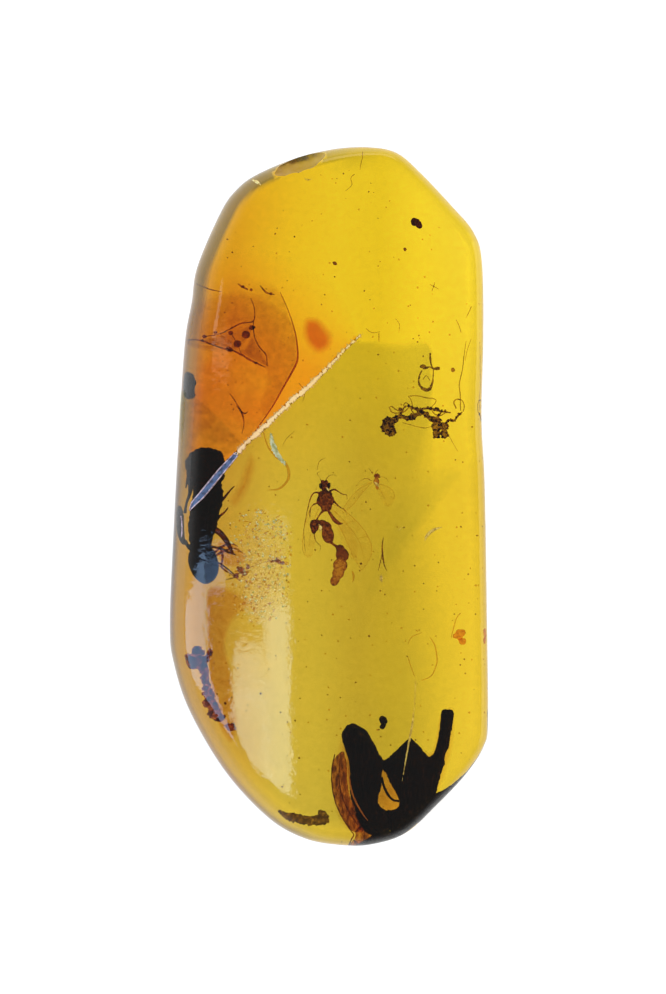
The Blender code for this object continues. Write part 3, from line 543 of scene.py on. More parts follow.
LEAF_TOP = (
    (-5.33, 7.64, 0.2), (-4.69, 8.05, 0.3), (-3.72, 8.21, 0.3), (-2.68, 8.05, 0.3), (-1.79, 7.40, 0.15),
    (-1.31, 6.68, 0.06), (-1.19, 5.95, 0.05), (-1.27, 5.23, 0.05), (-1.63, 4.51, 0.05),
    (-2.15, 3.70, 0.05), (-2.51, 3.14, 0.1), (-2.76, 3.54, 0.3), (-2.59, 4.34, 0.3), (-2.47, 4.99, 0.1),
    (-2.84, 5.35, 0.05), (-3.40, 5.59, 0.05), (-3.84, 5.83, 0.05), (-4.45, 5.99, 0.05),
    (-5.01, 6.16, 0.06), (-5.57, 6.28, 0.1),
)
LOWER_FLOW = (
    (2.72, -2.66, 0.5), (3.44, -1.69, 0.4), (4.32, -0.56, 0.4), (4.97, 0.32, 0.4),
    (5.37, 0.89, 0.4), (4.49, 1.37, 1), (2.88, 0.64, 1.6), (1.67, -1.37, 1.6), (1.27, -3.78, 1.2),
    (1.91, -4.02, 0.8),
)
CLOUD = ((-1.00, 6.80, 0.3), (-0.84, 7.14, 0.3), (-0.36, 7.12, 0.3), (0.02, 6.80, 0.35), (0.26, 6.36, 0.35),
         (0.14, 5.90, 0.3), (-0.34, 5.64, 0.3), (-0.76, 5.92, 0.3), (-0.98, 6.36, 0.3))
# Brown smears, washed off the beetle and its legs
SMEARS = (
    ((-3.12, 1.77, 0.3), (-2.84, 1.37, 0.3), (-2.96, 0.64, 0.3), (-3.28, -0.08, 0.3), (-3.72, -0.48, 0.3),
    (-4.00, -0.16, 0.3), (-3.64, 0.56, 0.3), (-3.36, 1.29, 0.3),),
    ((-4.41, -1.85, 0.08), (-3.92, -1.81, 0.1), (-3.32, -2.25, 0.1), (-3.28, -2.66, 0.12),
    (-3.72, -2.86, 0.1), (-4.28, -2.66, 0.08),),
    ((-4.81, -3.78, 0.1), (-4.28, -3.54, 0.2), (-3.56, -3.78, 0.3), (-3.00, -4.26, 0.3),
    (-3.44, -4.75, 0.3), (-3.88, -5.23, 0.2), (-4.04, -5.87, 0.2), (-3.96, -6.44, 0.2),
    (-3.80, -7.08, 0.2), (-3.68, -8.21, 0.2), (-3.56, -9.33, 0.2), (-3.88, -9.90, 0.2),
    (-4.32, -9.25, 0.1), (-4.65, -8.21, 0.1), (-4.81, -6.60, 0.1), (-4.85, -4.99, 0.1),),
)


def under_front(depth):
    """The level that lies a depth below the front face."""
    return lambda x, y: front_height(x, y) - depth


def run_tree(mesh, tree, values):
    """The plain mesh that a Geometry Nodes tree makes of a mesh, with its inputs by their names."""
    thing = place("source", mesh)
    modifier = thing.modifiers.new(tree.name, "NODES")
    modifier.node_group = tree
    sockets = {s.name: s.identifier for s in tree.interface.items_tree if s.in_out == "INPUT"}
    for name, value in values.items():
        modifier[sockets[name]] = value
    return evaluated(thing)


def new_tree(name, inputs):
    """A Geometry Nodes tree with named inputs; gives it with its input and its unlinked output node."""
    tree = bpy.data.node_groups.new(name, "GeometryNodeTree")
    tree.interface.new_socket("Geometry", in_out="INPUT", socket_type="NodeSocketGeometry")
    tree.interface.new_socket("Geometry", in_out="OUTPUT", socket_type="NodeSocketGeometry")
    for title, kind in inputs.items():
        tree.interface.new_socket(title, in_out="INPUT", socket_type=f"NodeSocket{kind}")
    return tree, tree.nodes.new("NodeGroupInput").outputs, tree.nodes.new("NodeGroupOutput")


# A strand, leg or vein: a round tube along each line of the mesh, as thick as its points say and
# knobbly by a share of that
strand_tree, given, result = new_tree("strand", {
    "Sides": "Int", "Step": "Float", "Knobs": "Float", "Knob Size": "Float", "Material": "Material"})
lines = add(strand_tree, "GeometryNodeMeshToCurve", {}, {0: given["Geometry"]})
lines = add(strand_tree, "GeometryNodeCurveSplineType", {"spline_type": "CATMULL_ROM"}, {0: lines.outputs[0]})
lines = add(strand_tree, "GeometryNodeResampleCurve", {"mode": "LENGTH"}, {0: lines.outputs[0], 3: given["Step"]})
thick = add(strand_tree, "GeometryNodeInputNamedAttribute", {"data_type": "FLOAT", "Name": "thickness"})
ring = add(strand_tree, "GeometryNodeCurvePrimitiveCircle", {"Radius": 1.0}, {0: given["Sides"]})
tube = add(strand_tree, "GeometryNodeCurveToMesh", {"Fill Caps": True}, {
    0: lines.outputs[0], 1: ring.outputs[0], 2: thick.outputs[0]})
weld = add(strand_tree, "GeometryNodeMergeByDistance", {"Distance": 0.0005}, {0: tube.outputs[0]})
spot = add(strand_tree, "GeometryNodeInputPosition")
near = add(strand_tree, "ShaderNodeVectorMath", {"operation": "DIVIDE"}, {
    0: spot.outputs[0], 1: given["Knob Size"]})
knobs = add(strand_tree, "ShaderNodeTexNoise", {"Scale": 1.0, "Detail": 2.0}, {"Vector": near.outputs[0]})
centred = add(strand_tree, "ShaderNodeMath", {"operation": "SUBTRACT", 1: 0.5}, {0: knobs.outputs[0]})
sized = add(strand_tree, "ShaderNodeMath", {"operation": "MULTIPLY"}, {0: centred.outputs[0], 1: given["Knobs"]})
scaled = add(strand_tree, "ShaderNodeMath", {"operation": "MULTIPLY"}, {0: sized.outputs[0], 1: thick.outputs[0]})
out = add(strand_tree, "GeometryNodeInputNormal")
push = add(strand_tree, "ShaderNodeVectorMath", {"operation": "SCALE"}, {0: out.outputs[0], "Scale": scaled.outputs[0]})
moved = add(strand_tree, "GeometryNodeSetPosition", {}, {0: weld.outputs[0], 3: push.outputs[0]})
real = add(strand_tree, "GeometryNodeRealizeInstances", {}, {0: moved.outputs[0]})
done = add(strand_tree, "GeometryNodeSetMaterial", {}, {0: real.outputs[0], 2: given["Material"]})
strand_tree.links.new(done.outputs[0], result.inputs[0])


def strands(paths, sides=8, step=0.06, knobs=0.0, knob_size=0.15):
    """Tubes along paths of x, y, z and radius, in one mesh."""
    shape = bmesh.new()
    layer = shape.verts.layers.float.new("thickness")
    for path in paths:
        line = []
        for x, y, z, radius in path:
            line.append(shape.verts.new((x, y, z)))
            line[-1][layer] = radius
        for pair in zip(line, line[1:]):
            shape.edges.new(pair)
    return run_tree(as_mesh(shape), strand_tree, {
        "Sides": sides, "Step": step, "Knobs": knobs, "Knob Size": knob_size})


# Copies of a shape, of random size and turn, scattered over a mesh's faces and down below them
scatter_tree, given, result = new_tree("scatter", {
    "Shape": "Object", "Density": "Float", "Smallest": "Float", "Largest": "Float", "Depth": "Float",
    "Tilt": "Float", "Seed": "Int", "Material": "Material"})
dots = add(scatter_tree, "GeometryNodeDistributePointsOnFaces", {}, {
    0: given["Geometry"], "Density": given["Density"], "Seed": given["Seed"]})
sink = add(scatter_tree, "FunctionNodeRandomValue", {2: 0.0}, {3: given["Depth"], "Seed": given["Seed"]})
down = add(scatter_tree, "ShaderNodeMath", {"operation": "MULTIPLY", 1: -1.0}, {0: sink.outputs[1]})
offset = add(scatter_tree, "ShaderNodeCombineXYZ", {}, {2: down.outputs[0]})
sunk = add(scatter_tree, "GeometryNodeSetPosition", {}, {0: dots.outputs[0], 3: offset.outputs[0]})
back = add(scatter_tree, "ShaderNodeMath", {"operation": "MULTIPLY", 1: -1.0}, {0: given["Tilt"]})
least = add(scatter_tree, "ShaderNodeCombineXYZ", {}, {0: back.outputs[0], 1: back.outputs[0]})
most = add(scatter_tree, "ShaderNodeCombineXYZ", {2: 2 * math.pi}, {0: given["Tilt"], 1: given["Tilt"]})
turned = add(scatter_tree, "FunctionNodeRandomValue", {"data_type": "FLOAT_VECTOR"}, {
    0: least.outputs[0], 1: most.outputs[0], "Seed": given["Seed"]})
grown = add(scatter_tree, "FunctionNodeRandomValue", {"ID": 1}, {
    2: given["Smallest"], 3: given["Largest"], "Seed": given["Seed"]})
scatter_tree.links.new(add(scatter_tree, "GeometryNodeInputIndex").outputs[0], grown.inputs["ID"])
model = add(scatter_tree, "GeometryNodeObjectInfo", {}, {0: given["Shape"]})
copies = add(scatter_tree, "GeometryNodeInstanceOnPoints", {}, {
    0: sunk.outputs[0], 2: model.outputs["Geometry"], 5: turned.outputs[0], 6: grown.outputs[1]})
real = add(scatter_tree, "GeometryNodeRealizeInstances", {}, {0: copies.outputs[0]})
done = add(scatter_tree, "GeometryNodeSetMaterial", {}, {0: real.outputs[0], 2: given["Material"]})
scatter_tree.links.new(done.outputs[0], result.inputs[0])


def scattered(ground, shape, density, smallest, largest, depth=0.0, tilt=3.0, seed=1):
    """Copies of a shape over a ground mesh, both in millimetres and used up."""
    model = place("shape", shape)
    mesh = run_tree(ground, scatter_tree, {
        "Shape": model, "Density": density, "Smallest": smallest, "Largest": largest, "Depth": depth,
        "Tilt": tilt, "Seed": seed})
    bpy.data.objects.remove(model)
    return mesh


def lump(seed=1):
    """A knobbly crumb of a millimetre across, in a few dozen faces."""
    mesh = bead((0, 0, 0), (1, 1, 1), 0.0, 2)
    for vertex in mesh.vertices:
        vertex.co *= 1 + 0.5 * noise.noise(vertex.co * 2.4 + Vector((seed, 0, 0)))
    return mesh


def bead(centre, size, turn=0.0, detail=3):
    """An ellipsoid's mesh, turned about Z by an angle in degrees."""
    shape = bmesh.new()
    matrix = (Matrix.Translation(centre) @ Matrix.Rotation(math.radians(turn), 4, "Z")
              @ Matrix.Diagonal((*size, 1.0)))
    bmesh.ops.create_icosphere(shape, subdivisions=detail, radius=0.5, matrix=matrix)
    return as_mesh(shape)


def joined(meshes):
    """Several meshes as one."""
    shape = bmesh.new()
    for mesh in meshes:
        shape.from_mesh(mesh)
        bpy.data.meshes.remove(mesh)
    return as_mesh(shape)


# Resin of another tint: only a colour to look through, with no surface of its own, so IOR 1
def new_tint(name, colour, spot, spot_size, spotted):
    """A tint to look through, with paler spots in it; it fades as the sheet's points say."""
    material, tree, shader = new_material(name, {"Transmission Weight": 1.0, "IOR": 1.0, "Roughness": 0.0})
    here = add(tree, "ShaderNodeTexCoord").outputs["Object"]
    mottle = add(tree, "ShaderNodeTexNoise", {"Scale": 1 / (spot_size * MM), "Detail": 3.0}, {"Vector": here})
    light = add(tree, "ShaderNodeMapRange", {1: 0.5 - spotted, 2: 0.5 + spotted}, {0: mottle.outputs[0]})
    mixed = add(tree, "ShaderNodeMix", {"data_type": "RGBA", 6: linear(colour), 7: linear(spot)},
                {0: light.outputs[0]})
    edge = add(tree, "ShaderNodeAttribute", {"attribute_name": "tint"})
    faded = add(tree, "ShaderNodeMix", {"data_type": "RGBA", 6: (1.0, 1.0, 1.0, 1.0)},
                {0: edge.outputs["Fac"], 7: mixed.outputs[2]})
    tree.links.new(faded.outputs[2], shader.inputs["Base Color"])
    return material


orange_resin = new_tint("orange resin", "#ffc06a", "#ffd690", 1.6, 0.25)
olive_resin_and_shade = new_tint("olive resin", "#dde0e8", "#e6e8ec", 2.4, 0.3)
brown_stain = new_tint("brown stain", "#e6d6b8", "#f6ece0", 0.30, 0.20)
red_cloud = new_tint("red cloud", "#e29664", "#e8a06c", 0.5, 0.3)
settle("orange_flow", pillow(ORANGE_FLOW, under_front(ORANGE_FLOW_DEPTH), FLOW_THICKNESS, 0.02, 0.16),
       [orange_resin])
# The olive tint is partly the flow's own colour and partly painted shade over the middle, where less light comes up
# from below.
settle("olive_flow", pillow(OLIVE_FLOW, under_front(OLIVE_FLOW_DEPTH), FLOW_THICKNESS, 0.02, 0.18),
       [olive_resin_and_shade])
settle("stained_leaf", pillow(STAINED_LEAF, under_front(LEAF_DEPTH), FLOW_THICKNESS, 0.02, 0.10, 0.03, 0.5),
       [brown_stain])
dark_stain = new_tint("dark stain", "#e6d8a4", "#f6eccc", 0.28, 0.22)
pale_stain = new_tint("pale stain", "#dcdcbc", "#f2f8e0", 0.3, 0.22)
settle("stained_wedge", pillow(WEDGE, under_front(LEAF_DEPTH + 0.05), FLOW_THICKNESS, 0.02, 0.08, 0.02, 0.4),
       [pale_stain])
settle("stained_top", pillow(LEAF_TOP, under_front(LEAF_DEPTH - 0.05), FLOW_THICKNESS, 0.02, 0.08, 0.02, 0.4),
       [dark_stain])
faint_resin = new_tint("faint resin", "#ecf0f2", "#f2f4f6", 2.0, 0.3)
settle("pale_flow", pillow(LOWER_FLOW, under_front(OLIVE_FLOW_DEPTH - 0.2), FLOW_THICKNESS, 0.02, 0.18),
       [faint_resin])
smear_brown = new_tint("brown smear", "#e6c298", "#f6e2c6", 0.3, 0.25)
for number, outline in enumerate(SMEARS, 1):
    settle(f"smear_{number}", pillow(outline, under_front(SMEAR_DEPTH), FLOW_THICKNESS, 0.02, 0.06), [smear_brown])
settle("red_cloud", pillow(CLOUD, under_front(CLOUD_DEPTH), FLOW_THICKNESS, 0.02, 0.06), [red_cloud])



def mottled(name, values, size, detail, stops):
    """A material whose colour runs through the stops, in lumps of a size in millimetres."""
    material, tree, shader = new_material(name, values)
    here = add(tree, "ShaderNodeTexCoord").outputs["Object"]
    lumps = add(tree, "ShaderNodeTexNoise", {"Scale": 1 / (size * MM), "Detail": detail}, {"Vector": here})
    hue = add(tree, "ShaderNodeValToRGB", {"stops": stops}, {0: lumps.outputs[0]})
    tree.links.new(hue.outputs["Color"], shader.inputs["Base Color"])
    return material


stain_line = mottled("stain along the fracture's edge", {
    "Transmission Weight": 1.0, "IOR": 1.0, "Roughness": 0.0}, 0.4, 2.0, ((0.4, "#9c5a24"), (0.6, "#b66e34")))
edge_line = [(x, y, front_height(x, y) - LEAF_DEPTH, r) for x, y, r in LEAF_EDGE]
settle("leaf_edge", strands([edge_line], 6, 0.1), [stain_line])

# --- The crack ---
# An old crack that reaches the front. Its lip has splintered into a ragged pale line, wider
# towards the left edge; its paleness is a painted glow. Over the dark beetle it is painted
# blue-white: a painted blue reflection between painted highlights.

LIP_DEPTH = 0.04
LIP_SHADE_FROM = -3.75  # x, left of which the beetle lies under it
# The powder glows: a painted glow for the light from the paper below that comes up through it.
splintered, tree, shader = new_material("powdered amber", {
    "Roughness": 0.35, "IOR": AMBER_IOR, "Emission Color": linear("#ffdc9c"), "Emission Strength": 0.38})
here = add(tree, "ShaderNodeTexCoord").outputs["Object"]
along_crack = add(tree, "ShaderNodeSeparateXYZ", {}, {0: here})
far = add(tree, "ShaderNodeMapRange", {1: -5.4 * MM, 2: 1.4 * MM}, {0: along_crack.outputs["X"]})
hue = add(tree, "ShaderNodeValToRGB", {"stops": (
    (0.22, "#f4d4b8"), (0.32, "#f4c080"), (0.46, "#ffdca0"), (0.73, "#ffd488"), (1.0, "#ffe078"))},
    {0: far.outputs[0]})
flakes = add(tree, "ShaderNodeTexNoise", {"Scale": 1 / (0.10 * MM), "Detail": 3.0}, {"Vector": here})
dull = add(tree, "ShaderNodeMapRange", {1: 0.36, 2: 0.52, 3: 0.7, 4: 1.0}, {0: flakes.outputs[0]})
darkened = add(tree, "ShaderNodeMix", {"data_type": "RGBA", "blend_type": "MULTIPLY", 0: 1.0},
           {6: hue.outputs[0], 7: dull.outputs[0]})
tree.links.new(darkened.outputs[2], shader.inputs["Base Color"])
lip = [(x, y, r * 1.1) for x, y, r in CRACK if x > LIP_SHADE_FROM - 0.2]
settle("crack_lip", pillow(ribbon_outline(lip), under_front(LIP_DEPTH), 0.03, 0.03, 0.03, 0.01, 0.10, 0.16),
       [splintered])

# Over the beetle no light comes through from below: the break's blue there is a painted reflection,
# between pale edges that are painted highlights.
blue_reflection_break, tree, shader = new_material("shaded break", {"Roughness": 0.3, "IOR": AMBER_IOR})
here = add(tree, "ShaderNodeTexCoord").outputs["Object"]
flakes = add(tree, "ShaderNodeTexNoise", {"Scale": 1 / (0.2 * MM), "Detail": 3.0}, {"Vector": here})
hue = add(tree, "ShaderNodeValToRGB", {"stops": ((0.35, "#3c4058"), (0.5, "#5c78a8"), (0.68, "#8890b8"))},
          {0: flakes.outputs[0]})
tree.links.new(hue.outputs[0], shader.inputs["Base Color"])
# The break's pale edges glow: painted highlights.
painted_pale_highlight, tree, shader = new_material("pale edge of the break", {
    "Roughness": 0.35, "IOR": AMBER_IOR, "Emission Color": linear("#e8c8dc"), "Emission Strength": 0.12})
here = add(tree, "ShaderNodeTexCoord").outputs["Object"]
flakes = add(tree, "ShaderNodeTexNoise", {"Scale": 1 / (0.1 * MM), "Detail": 3.0}, {"Vector": here})
hue = add(tree, "ShaderNodeValToRGB", {"stops": ((0.36, "#806878"), (0.55, "#f4e0ec"))}, {0: flakes.outputs[0]})
tree.links.new(hue.outputs[0], shader.inputs["Base Color"])
shade_lip = [(x, y, r * 0.95) for x, y, r in CRACK if x < LIP_SHADE_FROM + 0.1]
settle("crack_lip_shade", pillow(ribbon_outline(shade_lip), under_front(LIP_DEPTH), 0.03, 0.03, 0.035, 0.01, 0.08, 0.04),
       [blue_reflection_break])
outline = ribbon_outline([(x, y, r * 0.8) for x, y, r in shade_lip])
edge_paths = [[(x, y, front_height(x, y) - 0.01, 0.022) for x, y in side]
              for side in (outline[:len(shade_lip)], outline[len(shade_lip):])]
settle("crack_lip_edges", strands(edge_paths, 6, 0.05, 1.2, 0.06), [painted_pale_highlight])

# --- The winged wasp ---
# The insect that the piece is kept for: 4 mm long, a chain of rounded parts with a thin waist.
# Its cuticle is thin and lets light through, dark where it is thick and orange at the tail; its
# sides are darkened by a painted shade.

WASP_HEIGHT = 4.7
# centre x and y, height over WASP_HEIGHT, size along x, y and z, turn and how light it is
WASP_BODY = (
    (-0.08, 0.40, 0.00, 0.46, 0.34, 0.36, 0, 0.22), (-0.16, 0.56, 0.02, 0.18, 0.16, 0.12, 20, 0.30),
    (-0.02, 0.56, 0.02, 0.16, 0.16, 0.12, -20, 0.26), (-0.04, 0.22, 0.00, 0.26, 0.30, 0.24, 0, 0.02),
    (-0.06, 0.04, 0.04, 0.56, 0.40, 0.44, 0, 0.12), (-0.06, -0.18, 0.04, 0.70, 0.62, 0.58, 6, 0.34),
    (-0.02, -0.44, 0.00, 0.46, 0.36, 0.42, 10, 0.42), (-0.49, -1.18, 0.00, 0.36, 0.50, 0.36, 12, 0.22),
    (-0.52, -1.38, 0.00, 0.20, 0.26, 0.20, 12, 0.26), (-0.24, -1.06, 0.02, 0.44, 0.22, 0.28, 8, 0.24),
    (-0.02, -1.24, 0.02, 0.42, 0.44, 0.40, 10, 0.34), (0.04, -1.54, 0.00, 0.48, 0.72, 0.46, 12, 0.44),
    (0.52, -2.10, 0.00, 0.34, 0.34, 0.36, 22, 0.26), (0.60, -2.34, 0.00, 0.52, 0.56, 0.46, 22, 0.36),
    (0.52, -2.76, 0.00, 0.56, 0.58, 0.50, -8, 0.90), (0.44, -3.06, 0.00, 0.46, 0.56, 0.44, -20, 0.98),
    (0.31, -3.36, 0.00, 0.36, 0.46, 0.34, -24, 0.70),
)
WASP_LEGS = (
    ((0.12, 0.20, 0.0, 0.04), (0.30, 0.26, 0.15, 0.040), (0.46, 0.16, 0.22, 0.030), (0.62, 0.06, 0.16, 0.024),
     (0.76, 0.04, 0.10, 0.020), (0.78, -0.17, 0.04, 0.014)),
    ((0.18, -0.10, 0.0, 0.04), (0.36, -0.30, 0.1, 0.034), (0.53, -0.46, 0.12, 0.026), (0.70, -0.56, 0.04, 0.020),
     (0.78, -0.78, -0.06, 0.014)),
    ((0.02, -0.50, 0.0, 0.05), (0.20, -0.82, 0.02, 0.07), (0.34, -1.00, 0.02, 0.09), (0.50, -1.10, 0.02, 0.06),
     (0.62, -1.08, 0.02, 0.02)),
    ((-0.26, 0.12, 0.0, 0.04), (-0.50, 0.12, 0.08, 0.032), (-0.66, -0.14, 0.10, 0.028), (-0.82, -0.86, 0.02, 0.020),
     (-0.90, -1.48, 0.0, 0.018), (-0.83, -2.28, -0.1, 0.014)),
    ((-0.28, -0.26, 0.0, 0.04), (-0.60, -0.42, -0.1, 0.026), (-0.66, -0.90, -0.2, 0.020)),
    ((-0.50, -1.44, 0.0, 0.026), (-0.45, -1.76, 0.0, 0.022), (-0.24, -2.02, -0.1, 0.018), (-0.32, -2.28, -0.2, 0.014)),
    ((-0.14, -0.58, 0.0, 0.06), (-0.32, -0.80, 0.0, 0.03), (-0.42, -1.02, 0.0, 0.06)),
    ((0.12, -1.82, 0.0, 0.07), (0.26, -1.93, 0.0, 0.05), (0.44, -2.06, 0.0, 0.08)),
)
WASP_FEELERS = (
    ((-0.22, 0.60, 0.05, 0.024), (-0.30, 0.76, 0.12, 0.016), (-0.38, 0.90, 0.14, 0.018), (-0.22, 1.02, 0.12, 0.014)),
    ((-0.06, 0.60, 0.05, 0.024), (0.06, 0.78, 0.12, 0.016), (0.20, 0.84, 0.14, 0.018), (0.40, 0.80, 0.12, 0.014)),
)
WASP_EYES = ((-0.24, 0.42, 0.04, 0.13, 0.19, 0.24, 14), (0.08, 0.44, 0.04, 0.13, 0.19, 0.24, -14))
WASP_VOXEL = 0.022


def skinned(meshes, voxel, smooth=3):
    """Bodies, limbs and joints grown together under one smooth skin."""
    thing = place("grown together", joined(meshes))
    skin = thing.modifiers.new("skin", "REMESH")
    skin.mode = "VOXEL"
    skin.voxel_size = voxel
    soft = thing.modifiers.new("soft", "SMOOTH")
    soft.iterations = smooth
    soft.factor = 0.5
    return evaluated(thing)


def body_meshes(beads, level):
    return [bead((x, y, level + z), (a, b, c), turn) for x, y, z, a, b, c, turn, _ in beads]


def paint_tone(mesh, beads, level, side_shade=0.75, limb_tone=0.42):
    """Keeps on each point how light it is: its part's lightness, less on its sides by a painted shade."""
    centres = np.array([(x, y, level + z) for x, y, z, *_ in beads])
    sizes = np.array([(a, b, c) for _, _, _, a, b, c, *_ in beads])
    tones = np.array([b[7] for b in beads])
    layer = mesh.attributes.new("tone", "FLOAT", "POINT")
    for vertex in mesh.vertices:
        away = np.linalg.norm((np.array(vertex.co) - centres) / sizes, axis=1)
        weight = np.exp(-(away - away.min()) * 12)
        tone = (tones * weight).sum() / weight.sum() if away.min() < 0.75 else limb_tone
        layer.data[vertex.index].value = tone * (1 - side_shade * (1 - abs(vertex.normal.z))**1.2)


def lifted(paths, level):
    return [[(x, y, level + z, r) for x, y, z, r in path] for path in paths]


# Insect cuticle, gone brown: a thin shell to look through, of nearly the resin's own IOR
wasp_cuticle, tree, shader = new_material("brown cuticle", {
    "Transmission Weight": 1.0, "IOR": 1.04, "Roughness": 0.12})
# the tone carries each part's own lightness and the painted shade on its sides
tone = add(tree, "ShaderNodeAttribute", {"attribute_name": "tone"})
here = add(tree, "ShaderNodeTexCoord").outputs["Object"]
mottle = add(tree, "ShaderNodeTexNoise", {"Scale": 1 / (0.09 * MM), "Detail": 3.0}, {"Vector": here})
stray = add(tree, "ShaderNodeMath", {"operation": "MULTIPLY_ADD", 1: 1.9, 2: -0.95}, {0: mottle.outputs[0]})
toned = add(tree, "ShaderNodeMath", {"operation": "ADD"}, {0: tone.outputs["Fac"], 1: stray.outputs[0]})
hue = add(tree, "ShaderNodeValToRGB", {"stops": (
    (0.0, "#2c1420"), (0.16, "#582838"), (0.34, "#844450"), (0.52, "#a06460"), (0.76, "#c08474"), (1.0, "#dcac98"))},
    {0: toned.outputs[0]})
tree.links.new(hue.outputs["Color"], shader.inputs["Base Color"])

wasp_parts = body_meshes(WASP_BODY, WASP_HEIGHT)
wasp_parts.append(strands(lifted(WASP_LEGS + WASP_FEELERS, WASP_HEIGHT), 8, 0.04, 0.25, 0.12))
wasp_mesh = skinned(wasp_parts, WASP_VOXEL, 2)
paint_tone(wasp_mesh, WASP_BODY, WASP_HEIGHT)
settle("wasp_body", wasp_mesh, [wasp_cuticle], ["winged_wasp"])

black_eye = mottled("facetted eye", {"Roughness": 0.3}, 0.05, 2.0, ((0.4, "#281216"), (0.6, "#381a1e")))
settle("wasp_eyes", joined([bead((x, y, WASP_HEIGHT + z), (a, b, c), turn) for x, y, z, a, b, c, turn in WASP_EYES]),
       [black_eye])

# Its wings are clear film over brown veins; they lie back along the body, one over the other
WASP_WINGS = {
    "right_wing": (0.16, ((0.06, -0.30), (0.34, -0.34), (0.86, -0.70), (1.38, -1.25), (1.72, -1.86),
                          (1.72, -2.40), (1.36, -2.98), (1.02, -2.45), (0.72, -1.72), (0.30, -0.86))),
    "right_hind_wing": (0.05, ((0.06, -0.40), (0.50, -0.80), (0.98, -1.40), (1.20, -2.10), (1.02, -2.52),
                               (0.70, -2.10), (0.36, -1.20))),
    "left_wing": (0.12, ((-0.28, -0.14), (-0.64, -0.46), (-0.88, -1.16), (-0.97, -1.90), (-0.86, -2.38),
                         (-0.56, -2.36), (-0.42, -1.50), (-0.26, -0.60))),
}
WASP_VEINS = (
    ((0.10, -0.32, 0.16, 0.014), (0.50, -0.44, 0.16, 0.014), (0.95, -0.80, 0.16, 0.012), (1.38, -1.27, 0.16, 0.010),
     (1.70, -1.86, 0.16, 0.008), (1.70, -2.40, 0.16, 0.006), (1.36, -2.94, 0.16, 0.006)),
    ((0.30, -0.60, 0.16, 0.010), (0.76, -1.10, 0.16, 0.009), (1.20, -1.70, 0.16, 0.007), (1.40, -2.30, 0.16, 0.005)),
    ((0.76, -1.10, 0.16, 0.007), (1.02, -1.00, 0.16, 0.007), (1.12, -0.98, 0.16, 0.007)),
    ((1.20, -1.70, 0.16, 0.006), (1.46, -1.62, 0.16, 0.006), (1.60, -1.62, 0.16, 0.006)),
    ((0.28, -0.84, 0.16, 0.008), (0.72, -1.70, 0.16, 0.007), (1.02, -2.43, 0.16, 0.006), (1.34, -2.92, 0.16, 0.006)),
    ((-0.30, -0.18, 0.12, 0.012), (-0.63, -0.48, 0.12, 0.012), (-0.87, -1.16, 0.12, 0.010),
     (-0.96, -1.90, 0.12, 0.008), (-0.86, -2.36, 0.12, 0.007), (-0.56, -2.34, 0.12, 0.006)),
    ((-0.34, -0.50, 0.12, 0.008), (-0.60, -1.30, 0.12, 0.007), (-0.70, -2.00, 0.12, 0.006)),
)
WING_STIGMA = ((0.98, -2.98, 0.16, 0.02), (1.04, -3.20, 0.16, 0.045), (1.00, -3.42, 0.16, 0.015))
wing_film, tree, shader = new_material("wing film", {"Transmission Weight": 1.0, "IOR": 1.02, "Roughness": 0.0})
here = add(tree, "ShaderNodeTexCoord").outputs["Object"]
ripple = add(tree, "ShaderNodeTexNoise", {"Scale": 1 / (0.25 * MM), "Detail": 2.0}, {"Vector": here})
hue = add(tree, "ShaderNodeValToRGB", {"stops": ((0.3, "#f8f0e6"), (0.7, "#fffcf8"))}, {0: ripple.outputs[0]})
tree.links.new(hue.outputs["Color"], shader.inputs["Base Color"])
vein_brown = mottled("wing vein", {
    "Transmission Weight": 1.0, "IOR": 1.02, "Roughness": 0.0}, 0.2, 2.0, ((0.4, "#dec090"), (0.6, "#ead0a0")))
for name, (lift, outline) in WASP_WINGS.items():
    settle(f"wasp_{name}", pillow(outline, WASP_HEIGHT + lift, 0.012, 0.02, 0.05, 0.02, 0.3), [wing_film])
settle("wasp_veins", strands(lifted(WASP_VEINS + (WING_STIGMA,), WASP_HEIGHT), 6, 0.06), [vein_brown])

# --- The black beetle ---
# A long beetle at the left edge, black all over, head end up, with its legs spread to the right.

BEETLE_HEIGHT = 4.7
BEETLE_SHIELD = (
    (-5.44, 1.01), (-5.44, 1.41), (-5.20, 1.77), (-4.84, 1.91), (-4.40, 1.87), (-4.11, 1.65),
    (-4.01, 1.29), (-4.01, 0.89), (-4.15, 0.52), (-4.52, 0.32), (-4.92, 0.36), (-5.24, 0.60),
)
BEETLE_WINGS = (
    (-5.16, 0.64), (-4.72, 0.76), (-4.28, 0.64), (-4.09, 0.24), (-4.09, -0.16), (-4.22, -0.64),
    (-4.36, -1.21), (-4.52, -1.81), (-4.62, -2.41), (-4.84, -2.70), (-5.16, -2.61), (-5.30, -2.21),
    (-5.34, -1.69), (-5.36, -1.21), (-5.30, -0.68), (-5.20, -0.16), (-5.16, 0.24),
)
BEETLE_TAIL = (
    (-5.28, -2.17), (-4.84, -1.97), (-4.48, -2.13), (-4.30, -2.57), (-4.28, -3.02), (-4.48, -3.38),
    (-4.84, -3.52), (-5.14, -3.34), (-5.32, -2.94), (-5.38, -2.49),
)
